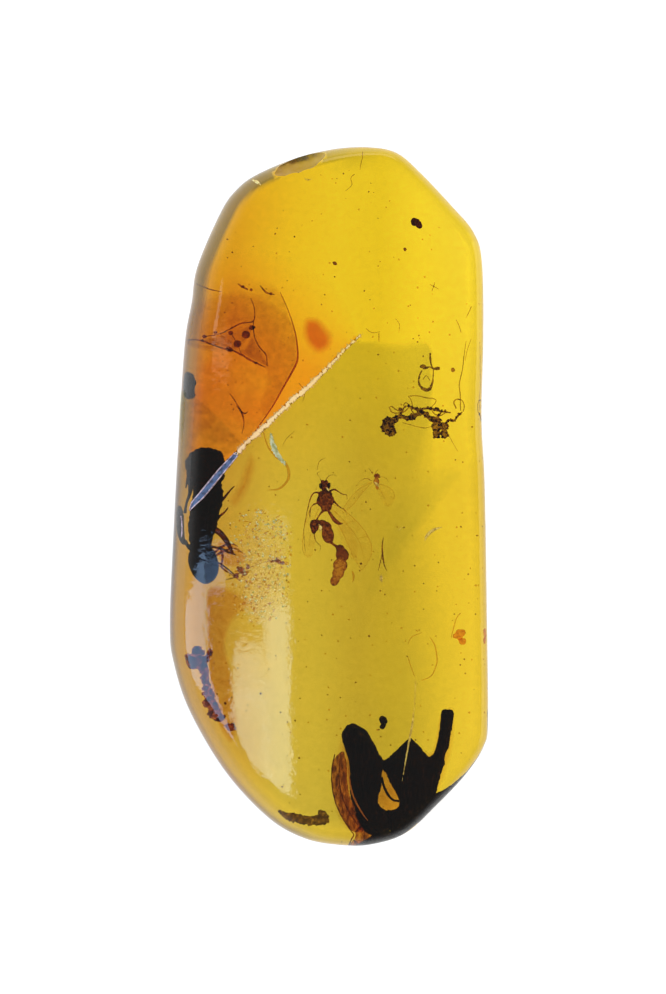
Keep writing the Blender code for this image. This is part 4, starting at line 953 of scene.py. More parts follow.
BEETLE_LEGS = (
    ((-4.50, -0.66, 0.0, 0.07), (-4.24, -0.30, 0.08, 0.06), (-3.98, 0.02, 0.1, 0.05), (-3.84, 0.20, 0.1, 0.04),
     (-3.64, 0.40, 0.1, 0.02)),
    ((-4.50, -1.20, 0.0, 0.07), (-4.28, -0.84, 0.1, 0.06), (-4.06, -0.66, 0.1, 0.04), (-3.90, -0.46, 0.1, 0.03)),
    ((-4.60, -1.24, 0.0, 0.12), (-4.30, -1.42, 0.1, 0.13), (-4.06, -1.66, 0.1, 0.12), (-3.84, -2.02, 0.1, 0.09),
     (-3.70, -2.30, 0.1, 0.04)),
    ((-4.71, -2.00, 0.0, 0.06), (-4.20, -2.10, 0.1, 0.05), (-3.90, -2.24, 0.1, 0.05), (-3.60, -2.34, 0.2, 0.03)),
    ((-4.44, -2.60, 0.0, 0.05), (-4.10, -2.78, 0.0, 0.04), (-3.62, -3.20, 0.0, 0.03), (-4.00, -3.34, 0.0, 0.02)),
)
# What shows of its far side: an upper wing case and the feelers, tucked down along the rim
BEETLE_FAR_SIDE = (
    ((-5.22, 0.90, 0.1, 0.10), (-5.30, 0.50, 0.2, 0.11), (-5.34, 0.10, 0.2, 0.08), (-5.48, -0.30, 0.2, 0.06),
     (-5.56, -0.70, 0.2, 0.08)),
    ((-5.30, 1.30, 0.1, 0.05), (-5.42, 0.80, 0.2, 0.06), (-5.52, 0.30, 0.2, 0.04)),
    ((-5.50, -1.80, 0.1, 0.07), (-5.36, -2.05, 0.0, 0.07), (-5.24, -2.20, 0.0, 0.06)),
)
BEETLE_RIM_WING = ((-5.88, -0.52), (-5.66, -0.40), (-5.52, -0.76), (-5.48, -1.50), (-5.44, -1.95), (-5.62, -1.90),
                   (-5.80, -1.55), (-5.90, -1.10))
beetle_shell, tree, shader = new_material("black wing case", {"IOR": 1.1})
here = add(tree, "ShaderNodeTexCoord").outputs["Object"]
dust = add(tree, "ShaderNodeTexNoise", {"Scale": 1 / (0.14 * MM), "Detail": 4.0}, {"Vector": here})
hue = add(tree, "ShaderNodeValToRGB", {"stops": ((0.4, "#100c0d"), (0.75, "#2a1a16"))}, {0: dust.outputs[0]})
tree.links.new(hue.outputs["Color"], shader.inputs["Base Color"])
gloss = add(tree, "ShaderNodeMapRange", {3: 0.3, 4: 0.6}, {0: dust.outputs[0]})
tree.links.new(gloss.outputs[0], shader.inputs["Roughness"])
beetle_parts = [
    pillow(BEETLE_SHIELD, BEETLE_HEIGHT, 0.84, 0.60, 0.06, 0.04, 0.15, 0.07),
    pillow(BEETLE_WINGS, BEETLE_HEIGHT, 0.80, 0.52, 0.06, 0.03, 0.2, 0.06),
    pillow(BEETLE_TAIL, BEETLE_HEIGHT, 0.70, 0.45, 0.06, 0.02, 0.3),
    pillow(BEETLE_RIM_WING, BEETLE_HEIGHT - 0.1, 0.4, 0.12, 0.05, 0.02, 0.2)]
beetle_parts.append(strands(lifted(BEETLE_FAR_SIDE, BEETLE_HEIGHT), 8, 0.05, 0.5, 0.15))
beetle_mesh = skinned(beetle_parts, 0.03, 2)
split = strands([[(-4.62, 0.46, 5.13, 0.02), (-4.74, -1.00, 5.12, 0.02), (-4.86, -2.40, 5.06, 0.015)]], 6, 0.1)
settle("wing_case_seam", split, [beetle_shell])
settle("beetle", beetle_mesh, [beetle_shell], ["black_beetle"])
leg_skin, tree, shader = new_material("leg cuticle", {"Transmission Weight": 1.0, "IOR": 1.04, "Roughness": 0.12})
here = add(tree, "ShaderNodeTexCoord").outputs["Object"]
mottle = add(tree, "ShaderNodeTexNoise", {"Scale": 1 / (0.12 * MM), "Detail": 3.0}, {"Vector": here})
hue = add(tree, "ShaderNodeValToRGB", {"stops": ((0.35, "#1c1014"), (0.52, "#582a2c"), (0.72, "#a86c58"))},
          {0: mottle.outputs[0]})
tree.links.new(hue.outputs["Color"], shader.inputs["Base Color"])
settle("beetle_legs", skinned([strands(lifted(BEETLE_LEGS, BEETLE_HEIGHT), 8, 0.05, 0.5, 0.12)], 0.02, 1),
       [leg_skin])

# --- The charred bark and the bud scale ---
# A forked scrap of black bark that the polisher cut through at the lower rim, and beside it a
# papery bud scale that the light comes through.

BARK_HEIGHT = 4.0
BARK_DEPTH, FORK_DEPTH = 1.2, 0.8
BARK_LIMB = (
    (0.58, -9.63), (0.60, -9.42), (0.76, -9.16), (1.01, -9.04), (1.28, -9.16), (1.55, -9.34), (1.70, -9.62),
    (1.88, -9.90), (1.98, -10.18), (2.16, -10.44), (2.22, -10.72), (2.14, -11.06), (2.12, -11.58), (1.98, -12.00),
    (2.02, -12.30), (2.26, -12.52), (2.50, -12.66), (2.46, -13.28), (2.02, -13.50), (1.60, -13.44),
    (1.30, -13.10), (1.06, -12.60), (0.92, -12.00), (0.90, -11.30), (0.86, -10.60), (0.72, -10.10),
)
BARK_FORK = (
    (2.14, -10.56), (2.30, -10.50), (2.46, -10.36), (2.70, -10.13), (3.00, -9.84), (3.22, -9.64), (3.40, -9.72),
    (3.60, -9.94), (3.80, -10.18), (4.00, -10.38), (4.14, -10.30), (4.26, -10.08), (4.34, -9.75), (4.42, -9.30),
    (4.48, -8.66), (4.54, -8.52), (4.94, -8.54), (4.95, -9.00), (4.86, -9.55), (4.80, -9.96), (4.64, -10.30),
    (4.64, -10.62), (4.50, -11.00), (4.38, -11.40), (4.28, -11.80), (4.12, -12.20), (3.90, -12.50), (3.48, -12.86),
    (2.92, -13.20), (2.50, -13.40), (2.30, -12.60), (2.62, -12.50), (2.82, -12.34), (2.80, -12.02), (2.55, -11.58),
    (2.31, -11.06), (2.20, -10.94),
)
BARK_BITS = (
    ((2.14, -11.20, 0.2, 0.05), (2.22, -11.56, 0.2, 0.05), (2.38, -11.90, 0.2, 0.05), (2.60, -12.12, 0.2, 0.045),
     (2.82, -12.16, 0.2, 0.05)),
)
BUD_SCALE = (
    (0.58, -10.18), (0.74, -10.54), (0.78, -11.22), (0.86, -11.83), (1.03, -12.35), (1.31, -12.87),
    (1.51, -13.11), (1.35, -13.40), (0.99, -13.36), (0.66, -12.95), (0.42, -12.47), (0.22, -11.83),
    (0.18, -11.10), (0.26, -10.54),
)
LOWER_SCALE = (
    (1.11, -13.32), (1.35, -13.11), (1.67, -13.11), (1.99, -13.36), (2.07, -13.64), (1.83, -13.80),
    (1.43, -13.80), (1.15, -13.64),
)
SCALE_RIBS = (
    ((0.30, -10.30, 0.55, 0.022), (0.18, -10.94, 0.6, 0.026), (0.20, -11.67, 0.6, 0.026),
    (0.38, -12.39, 0.6, 0.024), (0.70, -13.03, 0.55, 0.022), (1.11, -13.56, 0.5, 0.018),),
    ((0.50, -10.46, 0.6, 0.014), (0.46, -11.26, 0.64, 0.02), (0.58, -11.99, 0.64, 0.02),
    (0.86, -12.63, 0.6, 0.016), (1.19, -13.11, 0.55, 0.012),),
    ((1.11, -13.40, 0.5, 0.02), (1.39, -13.16, 0.5, 0.022), (1.75, -13.20, 0.5, 0.022),
    (2.03, -13.44, 0.5, 0.02), (2.07, -13.64, 0.5, 0.016),),
)
PALE_RIB = (
    (0.80, -10.50, 0.62, 0.012), (0.86, -11.22, 0.66, 0.022), (0.97, -11.83, 0.66, 0.03),
    (1.19, -12.35, 0.64, 0.03), (1.43, -12.75, 0.6, 0.02), (1.59, -12.95, 0.56, 0.01),
)
black_bark, tree, shader = new_material("charred bark", {"IOR": 1.1, "Roughness": 0.8})
here = add(tree, "ShaderNodeTexCoord").outputs["Object"]
grain = add(tree, "ShaderNodeMapping", {"Rotation": (0, 0, 0.25), "Scale": (1.0, 0.3, 1.0)}, {0: here})
fibres = add(tree, "ShaderNodeTexNoise", {"Scale": 1 / (0.12 * MM), "Detail": 4.0}, {"Vector": grain.outputs[0]})
hue = add(tree, "ShaderNodeValToRGB", {"stops": ((0.35, "#141010"), (0.58, "#241c1a"), (0.76, "#4a3222"))},
          {0: fibres.outputs[0]})
tree.links.new(hue.outputs["Color"], shader.inputs["Base Color"])
relief = add(tree, "ShaderNodeBump", {"Strength": 0.6, "Distance": 0.03 * MM}, {"Height": fibres.outputs[0]})
tree.links.new(relief.outputs[0], shader.inputs["Normal"])
settle("bark_left_limb", pillow(BARK_LIMB, BARK_HEIGHT, BARK_DEPTH, 0.5, 0.07, 0.05, 0.2, 0.03), [black_bark],
       ["bark_limb"])
settle("bark_right_fork", joined([
    pillow(BARK_FORK, BARK_HEIGHT + 0.15, FORK_DEPTH, 0.80, 0.07, 0.05, 0.2, 0.03),
    strands(lifted(BARK_BITS, BARK_HEIGHT), 8, 0.05, 0.6, 0.1)]), [black_bark], ["bark_fork"])

papery, tree, shader = new_material("papery scale", {"Transmission Weight": 1.0, "IOR": 1.03, "Roughness": 0.15})
here = add(tree, "ShaderNodeTexCoord").outputs["Object"]
grain = add(tree, "ShaderNodeMapping", {"Rotation": (0, 0, 0.1), "Scale": (1.0, 0.35, 1.0)}, {0: here})
fibres = add(tree, "ShaderNodeTexNoise", {"Scale": 1 / (0.14 * MM), "Detail": 4.0}, {"Vector": grain.outputs[0]})
hue = add(tree, "ShaderNodeValToRGB", {"stops": (
    (0.34, "#4c2418"), (0.46, "#986048"), (0.56, "#c4906c"), (0.68, "#ecc494"))}, {0: fibres.outputs[0]})
tree.links.new(hue.outputs["Color"], shader.inputs["Base Color"])
settle("bud_scale_leaf", joined([
    pillow(outline, lambda x, y: BARK_HEIGHT + 0.55 - 0.12 * (x - 0.5)**2, 0.10, 0.12, 0.06, 0.03, 0.15, 0.03)
    for outline in (BUD_SCALE, LOWER_SCALE)]), [papery], ["bud_scale"])
rib_brown, tree, shader = new_material("scale rib", {"Transmission Weight": 1.0, "IOR": 1.03, "Roughness": 0.15})
here = add(tree, "ShaderNodeTexCoord").outputs["Object"]
fibres = add(tree, "ShaderNodeTexNoise", {"Scale": 1 / (0.2 * MM), "Detail": 2.0}, {"Vector": here})
hue = add(tree, "ShaderNodeValToRGB", {"stops": ((0.4, "#5c3020"), (0.62, "#9c6444"))}, {0: fibres.outputs[0]})
tree.links.new(hue.outputs["Color"], shader.inputs["Base Color"])
settle("bud_scale_ribs", strands(lifted(SCALE_RIBS, BARK_HEIGHT), 6, 0.06, 0.9, 0.1), [rib_brown])
# The pale rib glows: a painted glow for the light that comes through the scale.
painted_glow_rib = mottled("pale rib", {
    "Roughness": 0.4, "Emission Color": linear("#f0b070"), "Emission Strength": 0.35},
    0.15, 2.0, ((0.4, "#bc8860"), (0.6, "#d4a070")))
settle("bud_scale_pale_rib", strands(lifted([PALE_RIB], BARK_HEIGHT), 6, 0.06, 0.9, 0.1), [painted_glow_rib])

# --- The midge ---
# A second, much smaller fly above the first: a pale body and two pairs of clear spread wings.

MIDGE_HEIGHT = 4.8
MIDGE_BODY = (
    (1.94, 0.80, 0.00, 0.24, 0.20, 0.18, 0, 0.48), (1.92, 0.58, 0.00, 0.22, 0.30, 0.20, 0, 0.90),
    (1.95, 0.36, 0.00, 0.12, 0.24, 0.11, 6, 1.2),
)
MIDGE_LEGS = (
    ((1.74, 0.60, 0.0, 0.02), (1.52, 0.70, 0.05, 0.014), (1.30, 0.60, 0.0, 0.010), (1.12, 0.40, 0.0, 0.008)),
    ((1.86, 0.62, 0.0, 0.02), (2.10, 0.76, 0.05, 0.014), (2.30, 0.70, 0.0, 0.010), (2.44, 0.52, 0.0, 0.008)),
    ((1.78, 0.90, 0.0, 0.014), (1.66, 1.06, 0.02, 0.010), (1.58, 1.12, 0.02, 0.006)),
    ((1.86, 0.90, 0.0, 0.014), (1.98, 1.04, 0.02, 0.010), (2.10, 1.08, 0.02, 0.006)),
)
MIDGE_WINGS = (
    ((1.76, 0.56), (1.56, 0.34), (1.32, 0.04), (1.06, -0.34), (0.66, -0.68), (0.60, -0.50), (0.88, -0.10),
     (1.20, 0.28), (1.52, 0.52)),
    ((1.88, 0.56), (2.10, 0.46), (2.44, 0.36), (2.66, 0.06), (2.60, -0.26), (2.36, -0.44), (2.14, -0.20),
     (1.96, 0.20)),
)
MIDGE_VEINS = (
    ((1.76, 0.54, 0.06, 0.010), (1.34, 0.08, 0.06, 0.009), (1.02, -0.34, 0.06, 0.008), (0.64, -0.66, 0.06, 0.006)),
    ((1.70, 0.54, 0.06, 0.008), (1.24, 0.26, 0.06, 0.008), (0.88, -0.12, 0.06, 0.006), (0.62, -0.52, 0.06, 0.005)),
    ((1.90, 0.52, 0.06, 0.010), (2.42, 0.34, 0.06, 0.009), (2.64, 0.02, 0.06, 0.008), (2.36, -0.42, 0.06, 0.006)),
    ((1.90, 0.46, 0.06, 0.008), (2.16, 0.10, 0.06, 0.008), (2.34, -0.40, 0.06, 0.006)),
)
midge_parts = body_meshes(MIDGE_BODY, MIDGE_HEIGHT)
midge_parts.append(strands(lifted(MIDGE_LEGS, MIDGE_HEIGHT), 6, 0.04))
midge_mesh = skinned(midge_parts, 0.012, 1)
# the midge's sides get a weaker painted shade
paint_tone(midge_mesh, MIDGE_BODY, MIDGE_HEIGHT, 0.4, 0.55)
settle("midge_body", midge_mesh, [wasp_cuticle], ["midge"])
settle("midge_wings", joined([pillow(o, MIDGE_HEIGHT + 0.06, 0.010, 0.02, 0.04, 0.02, 0.2) for o in MIDGE_WINGS]),
       [wing_film])
settle("midge_veins", strands(lifted(MIDGE_VEINS, MIDGE_HEIGHT), 5, 0.05), [vein_brown])

# --- The arch of pellets and its seed husk ---
# A little bridge of frass pellets that some larva strung together with silk, with loose ends and
# loops, and above it the rim of an empty husk.

ARCH_HEIGHT = 4.9
ARCH_STRANDS = (
    ((2.62, 3.02, 0.0, 0.10), (2.87, 3.18, 0.0, 0.085), (3.15, 3.08, 0.0, 0.075), (3.39, 3.14, 0.0, 0.085),
     (3.67, 3.33, 0.0, 0.080), (3.89, 3.23, 0.0, 0.085), (4.13, 3.04, 0.0, 0.100), (4.32, 3.09, 0.0, 0.085),
     (4.44, 2.96, 0.0, 0.11)),
    ((3.02, 3.57, 0.05, 0.035), (3.27, 3.57, 0.05, 0.040), (3.52, 3.43, 0.05, 0.050), (3.82, 3.48, 0.05, 0.045),
     (4.13, 3.47, 0.05, 0.050), (4.44, 3.38, 0.05, 0.045), (4.87, 3.32, 0.05, 0.030)),
    ((2.87, 3.20, 0.0, 0.05), (2.96, 3.40, 0.03, 0.04), (3.04, 3.57, 0.05, 0.035)),
    ((4.32, 3.10, 0.0, 0.05), (4.42, 3.24, 0.0, 0.045), (4.52, 3.36, 0.03, 0.03)),
    ((4.70, 2.96, 0.0, 0.06), (4.85, 3.03, 0.0, 0.05), (5.02, 3.02, 0.0, 0.045), (5.15, 3.20, 0.0, 0.045),
     (5.33, 3.35, 0.0, 0.030)),
    ((5.09, 3.48, 0.0, 0.028), (4.99, 3.72, 0.0, 0.030), (5.09, 3.85, 0.0, 0.030), (5.24, 3.82, 0.0, 0.022)),
    ((3.18, 3.97, 0.05, 0.018), (3.52, 3.99, 0.05, 0.020), (3.89, 3.91, 0.05, 0.020), (4.16, 3.88, 0.05, 0.018),
     (4.29, 3.80, 0.05, 0.018), (4.19, 3.63, 0.05, 0.018), (4.01, 3.48, 0.05, 0.018)),
    ((3.18, 3.97, 0.05, 0.018), (3.30, 3.80, 0.05, 0.018), (3.36, 3.56, 0.05, 0.018)),
    ((2.41, 3.51, 0.0, 0.015), (2.52, 3.56, 0.0, 0.025), (2.70, 3.44, 0.0, 0.025), (2.90, 3.36, 0.0, 0.030)),
    ((2.44, 3.50, 0.0, 0.02), (2.56, 3.32, 0.0, 0.025), (2.80, 3.30, 0.0, 0.025), (3.06, 3.38, 0.0, 0.03),
     (3.20, 3.56, 0.0, 0.025), (3.10, 3.72, 0.0, 0.02), (2.98, 3.60, 0.0, 0.02)),
    ((3.24, 3.54, 0.0, 0.024), (3.40, 3.30, 0.0, 0.028), (3.62, 3.20, 0.0, 0.028), (3.84, 3.34, 0.0, 0.024)),
    ((4.10, 3.44, 0.0, 0.024), (4.24, 3.26, 0.0, 0.026), (4.44, 3.20, 0.0, 0.026), (4.64, 3.30, 0.0, 0.024)),
    ((5.36, 3.36, 0.0, 0.02), (5.40, 3.60, 0.0, 0.018), (5.32, 3.80, 0.0, 0.018), (5.14, 3.86, 0.0, 0.018)),
    ((2.96, 2.92, 0.0, 0.012), (3.39, 2.80, 0.0, 0.014), (3.82, 2.71, 0.0, 0.014), (4.13, 2.77, 0.0, 0.012)),
    ((5.26, 3.40, 0.0, 0.018), (5.24, 4.06, 0.0, 0.022), (5.21, 4.46, 0.0, 0.018), (5.34, 5.08, 0.0, 0.018),
     (5.40, 5.60, 0.0, 0.016), (5.48, 6.16, 0.0, 0.012)),
)
ARCH_PELLETS = (
    (2.40, 2.90, 0.0, 0.50, 0.50, 0.46, -20, 0), (2.48, 2.56, 0.0, 0.46, 0.36, 0.40, 0, 0),
    (2.28, 2.74, 0.0, 0.36, 0.44, 0.36, 0, 0), (2.66, 3.04, 0.0, 0.30, 0.28, 0.28, 0, 0),
    (4.30, 2.78, 0.0, 0.42, 0.36, 0.38, 10, 0), (4.30, 2.48, 0.0, 0.30, 0.36, 0.30, 0, 0),
    (4.58, 2.78, 0.0, 0.38, 0.32, 0.36, 0, 0), (4.62, 2.48, 0.0, 0.30, 0.38, 0.30, 12, 0),
    (4.36, 3.00, 0.0, 0.26, 0.22, 0.26, 0, 0),
    (3.15, 3.10, 0.0, 0.24, 0.20, 0.2, 0, 0), (3.66, 3.36, 0.0, 0.26, 0.20, 0.2, 0, 0),
    (4.12, 3.06, 0.0, 0.28, 0.22, 0.22, 0, 0), (4.32, 3.46, 0.04, 0.20, 0.15, 0.15, 0, 0),
    (3.54, 3.44, 0.04, 0.18, 0.14, 0.14, 0, 0), (2.86, 3.46, 0.04, 0.16, 0.14, 0.14, 0, 0),
    (3.32, 3.22, 0.04, 0.18, 0.16, 0.14, 0, 0), (3.92, 3.30, 0.04, 0.18, 0.14, 0.14, 0, 0),
)
frass, tree, shader = new_material("frass", {"Transmission Weight": 1.0, "IOR": 1.05, "Roughness": 0.25})
here = add(tree, "ShaderNodeTexCoord").outputs["Object"]
clots = add(tree, "ShaderNodeTexNoise", {"Scale": 1 / (0.12 * MM), "Detail": 3.0}, {"Vector": here})
hue = add(tree, "ShaderNodeValToRGB", {"stops": ((0.36, "#54401e"), (0.52, "#86682f"), (0.7, "#bc9a50"))},
          {0: clots.outputs[0]})
tree.links.new(hue.outputs["Color"], shader.inputs["Base Color"])
arch_parts = body_meshes(ARCH_PELLETS, ARCH_HEIGHT)
arch_parts.append(strands(lifted(ARCH_STRANDS[:5], ARCH_HEIGHT), 8, 0.05, 1.1, 0.1))
arch_core = skinned(arch_parts, 0.022, 1)
arch_crust = scattered(arch_core.copy(), lump(), 30.0, 0.05, 0.12, 0.0, 3.0, 4)
settle("arch", joined([arch_core, arch_crust]), [frass], ["pellet_arch"])
silk, tree, shader = new_material("dark silk", {"Transmission Weight": 1.0, "IOR": 1.02, "Roughness": 0.0})
here = add(tree, "ShaderNodeTexCoord").outputs["Object"]
spun = add(tree, "ShaderNodeTexNoise", {"Scale": 1 / (0.3 * MM), "Detail": 2.0}, {"Vector": here})
hue = add(tree, "ShaderNodeValToRGB", {"stops": ((0.35, "#8a7038"), (0.65, "#c0a860"))}, {0: spun.outputs[0]})
tree.links.new(hue.outputs["Color"], shader.inputs["Base Color"])
settle("arch_silk", strands(lifted(ARCH_STRANDS[5:], ARCH_HEIGHT), 6, 0.05, 0.7, 0.08), [silk])

HUSK_STRANDS = (
    ((3.74, 5.00, 0.0, 0.026), (3.64, 4.83, 0.0, 0.030), (3.60, 4.55, 0.0, 0.034), (3.68, 4.36, 0.0, 0.050),
     (3.84, 4.24, 0.0, 0.075), (4.02, 4.26, 0.0, 0.070), (4.12, 4.44, 0.0, 0.045), (4.17, 4.72, 0.0, 0.024),
     (4.17, 5.02, 0.0, 0.022), (4.10, 5.22, 0.0, 0.030), (4.06, 5.46, 0.0, 0.040), (4.05, 5.70, 0.0, 0.030)),
    ((3.64, 5.14, 0.0, 0.030), (3.76, 5.16, 0.0, 0.085), (3.88, 5.10, 0.0, 0.070), (4.00, 5.14, 0.0, 0.03),
     (4.18, 5.08, 0.0, 0.040), (4.34, 5.08, 0.0, 0.075), (4.44, 5.10, 0.0, 0.050)),
    ((3.76, 4.62, 0.0, 0.012), (3.90, 4.80, 0.0, 0.014), (4.04, 4.60, 0.0, 0.012)),
)
settle("husk", strands(lifted(HUSK_STRANDS, 4.9), 8, 0.04, 0.8, 0.09), [frass], ["seed_husk"])

# --- The web in the old fracture ---
# Strands of a spider's web, stretched across the orange resin and beaded with pellets.

WEB_HEIGHT = 4.6
WEB_STRANDS = (
    ((-5.44, 6.24, 0.0, 0.030), (-4.90, 6.22, 0.0, 0.034), (-4.52, 6.05, 0.0, 0.030), (-4.13, 5.90, 0.0, 0.036),
     (-3.75, 5.82, 0.0, 0.034), (-3.36, 5.63, 0.0, 0.036), (-2.98, 5.40, 0.0, 0.036), (-2.40, 5.13, 0.0, 0.020)),
    ((-4.73, 6.36, 0.0, 0.018), (-4.18, 6.50, 0.0, 0.020), (-3.75, 6.71, 0.0, 0.026), (-3.36, 6.90, 0.0, 0.026),
     (-2.90, 6.98, 0.0, 0.024), (-2.86, 7.48, 0.0, 0.018), (-3.01, 7.90, 0.0, 0.014)),
    ((-2.90, 6.98, 0.0, 0.02), (-2.86, 6.40, 0.0, 0.020), (-2.67, 5.97, 0.0, 0.022), (-2.40, 5.63, 0.0, 0.026),
     (-2.34, 5.20, 0.0, 0.018)),
    ((-3.80, 6.51, 0.0, 0.012), (-3.53, 6.07, 0.0, 0.014), (-3.36, 5.63, 0.0, 0.012)),
)
WEB_PELLETS = (
    (-3.19, 6.44, 0.0, 0.34, 0.32, 0.24, 0, 0), (-2.96, 6.72, 0.0, 0.22, 0.20, 0.18, 0, 0),
    (-3.53, 6.07, 0.0, 0.32, 0.30, 0.24, 0, 0), (-3.86, 5.86, 0.0, 0.30, 0.20, 0.18, -20, 0),
    (-3.80, 6.51, 0.0, 0.20, 0.18, 0.16, 0, 0), (-4.40, 6.53, 0.0, 0.14, 0.12, 0.12, 0, 0),
    (-4.73, 6.36, 0.0, 0.14, 0.14, 0.12, 0, 0), (-3.32, 8.36, 0.0, 0.14, 0.12, 0.12, 0, 0),
    (-2.99, 8.23, 0.0, 0.12, 0.12, 0.10, 0, 0), (-2.21, 8.07, 0.0, 0.12, 0.12, 0.10, 0, 0),
)
WEB_SHEETS = (
    ((-4.93, 6.16, 0.1), (-4.57, 6.36, 0.15), (-3.92, 6.52, 0.15), (-3.44, 6.64, 0.15), (-3.00, 6.88, 0.1),
    (-2.96, 6.44, 0.12), (-3.28, 6.03, 0.15), (-3.68, 5.79, 0.1), (-4.16, 5.91, 0.1), (-4.65, 6.03, 0.1),),
    ((-2.96, 6.36, 0.1), (-2.72, 6.03, 0.1), (-2.39, 5.47, 0.1), (-2.31, 5.15, 0.1), (-2.72, 5.31, 0.1),
    (-3.20, 5.55, 0.1), (-3.52, 5.71, 0.1), (-3.20, 5.95, 0.1),),
    ((-5.69, 6.36, 0.1), (-5.13, 6.24, 0.15), (-4.49, 6.07, 0.15), (-3.76, 5.87, 0.1), (-3.60, 5.71, 0.1),
    (-4.16, 5.71, 0.15), (-4.81, 5.79, 0.15), (-5.45, 6.03, 0.1),),
)
web_dark, tree, shader = new_material("dusty silk", {"Transmission Weight": 1.0, "IOR": 1.03, "Roughness": 0.2})
here = add(tree, "ShaderNodeTexCoord").outputs["Object"]
spun = add(tree, "ShaderNodeTexNoise", {"Scale": 1 / (0.25 * MM), "Detail": 2.0}, {"Vector": here})
hue = add(tree, "ShaderNodeValToRGB", {"stops": ((0.35, "#6a3c30"), (0.65, "#b07858"))}, {0: spun.outputs[0]})
tree.links.new(hue.outputs["Color"], shader.inputs["Base Color"])
web_threads = strands(lifted(WEB_STRANDS, WEB_HEIGHT), 6, 0.06, 0.8, 0.1)
web_dust = scattered(web_threads.copy(), lump(2), 9.0, 0.04, 0.14, 0.0, 3.0, 6)
web_balls = body_meshes(WEB_PELLETS, WEB_HEIGHT)
settle("web", joined([web_threads, web_dust, *web_balls]), [web_dark], ["web_scraps"])
web_haze = new_tint("web sheet", "#ccb4bc", "#f0e8e0", 0.22, 0.22)
settle("web_sheets", joined([pillow(outline, WEB_HEIGHT - 0.1, 0.02, 0.02, 0.06) for outline in WEB_SHEETS]),
       [web_haze])

# --- The crumbs and scraps ---
# Loose bits of bark, leaf and dark resin that sank into the fresh resin at the left and the foot.

EDGE_FLAKE = ((-5.62, 4.80), (-5.46, 4.98), (-5.24, 4.86), (-5.10, 4.56), (-5.16, 4.26), (-5.12, 4.02),
              (-5.28, 3.86), (-5.52, 3.94), (-5.64, 4.30))
STRING_PIECES = (
    ((-5.22, -6.06, 0.3, 0.10), (-5.10, -6.26, 0.3, 0.18), (-5.16, -6.50, 0.3, 0.22), (-4.98, -6.66, 0.2, 0.18),
     (-5.04, -6.90, 0.2, 0.10)),
    ((-5.46, -6.30, 0.3, 0.08), (-5.36, -6.56, 0.3, 0.14), (-5.22, -6.84, 0.3, 0.10)),
    ((-4.86, -6.60, 0.2, 0.10), (-4.80, -7.04, 0.1, 0.12), (-4.70, -7.50, 0.0, 0.10), (-4.62, -7.90, 0.0, 0.12),
     (-4.48, -8.30, 0.0, 0.14), (-4.30, -8.66, 0.0, 0.16), (-4.10, -8.90, 0.0, 0.13)),
    ((-3.94, -9.10, 0.0, 0.09), (-3.76, -9.26, 0.0, 0.14), (-3.62, -9.20, 0.0, 0.10)),
    ((-4.60, -6.10, 0.2, 0.06), (-4.70, -6.36, 0.2, 0.10), (-4.80, -6.60, 0.2, 0.09)),
)
STRIP = (
    (-1.87, -12.45), (-1.55, -12.57), (-1.15, -12.69), (-0.74, -12.77), (-0.42, -12.73), (-0.34, -12.53),
    (-0.14, -12.57), (0.06, -12.77), (0.06, -13.01), (-0.18, -13.14), (-0.58, -13.10), (-0.99, -12.97),
    (-1.47, -12.81), (-1.79, -12.61),
)
dark_scrap, tree, shader = new_material("dark scrap", {"IOR": 1.1, "Roughness": 0.7})
here = add(tree, "ShaderNodeTexCoord").outputs["Object"]
crumb = add(tree, "ShaderNodeTexNoise", {"Scale": 1 / (0.16 * MM), "Detail": 4.0}, {"Vector": here})
hue = add(tree, "ShaderNodeValToRGB", {"stops": ((0.4, "#1b1310"), (0.62, "#3a261a"), (0.8, "#5c4026"))},
          {0: crumb.outputs[0]})
tree.links.new(hue.outputs["Color"], shader.inputs["Base Color"])
settle("edge_scrap", pillow(EDGE_FLAKE, 4.75, 0.9, 0.15, 0.05, 0.03, 0.12, 0.04), [dark_scrap], ["edge_flake"])
strip_brown, tree, shader = new_material("rotten bark", {"Transmission Weight": 1.0, "IOR": 1.03, "Roughness": 0.2})
here = add(tree, "ShaderNodeTexCoord").outputs["Object"]
crumb = add(tree, "ShaderNodeTexNoise", {"Scale": 1 / (0.14 * MM), "Detail": 4.0}, {"Vector": here})
hue = add(tree, "ShaderNodeValToRGB", {"stops": ((0.38, "#403028"), (0.54, "#80664c"), (0.72, "#c8a878"))},
          {0: crumb.outputs[0]})
tree.links.new(hue.outputs["Color"], shader.inputs["Base Color"])
violet_crumb, tree, shader = new_material("violet crumb", {"Transmission Weight": 1.0, "IOR": 1.03, "Roughness": 0.2})
here = add(tree, "ShaderNodeTexCoord").outputs["Object"]
crumb = add(tree, "ShaderNodeTexNoise", {"Scale": 1 / (0.12 * MM), "Detail": 4.0}, {"Vector": here})
hue = add(tree, "ShaderNodeValToRGB", {"stops": ((0.36, "#683058"), (0.52, "#a06088"), (0.7, "#d8a0b0"))},
          {0: crumb.outputs[0]})
tree.links.new(hue.outputs["Color"], shader.inputs["Base Color"])
crumb_core = strands(lifted(STRING_PIECES, 4.3), 8, 0.05, 1.6, 0.14)
crumb_crust = scattered(crumb_core.copy(), lump(3), 20.0, 0.06, 0.20, 0.0, 3.0, 3)
settle("crumbs", joined([crumb_core, crumb_crust]), [violet_crumb], ["crumb_string"])
settle("strip", pillow(STRIP, lambda x, y: 4.6 - 0.2 * x, 0.12, 0.06, 0.05, 0.03, 0.12, 0.06), [strip_brown],
       ["bark_strip"])

# --- The grains ---
# Single grains: a black one near the top, a brown one by the bark, and a drop of darker resin.

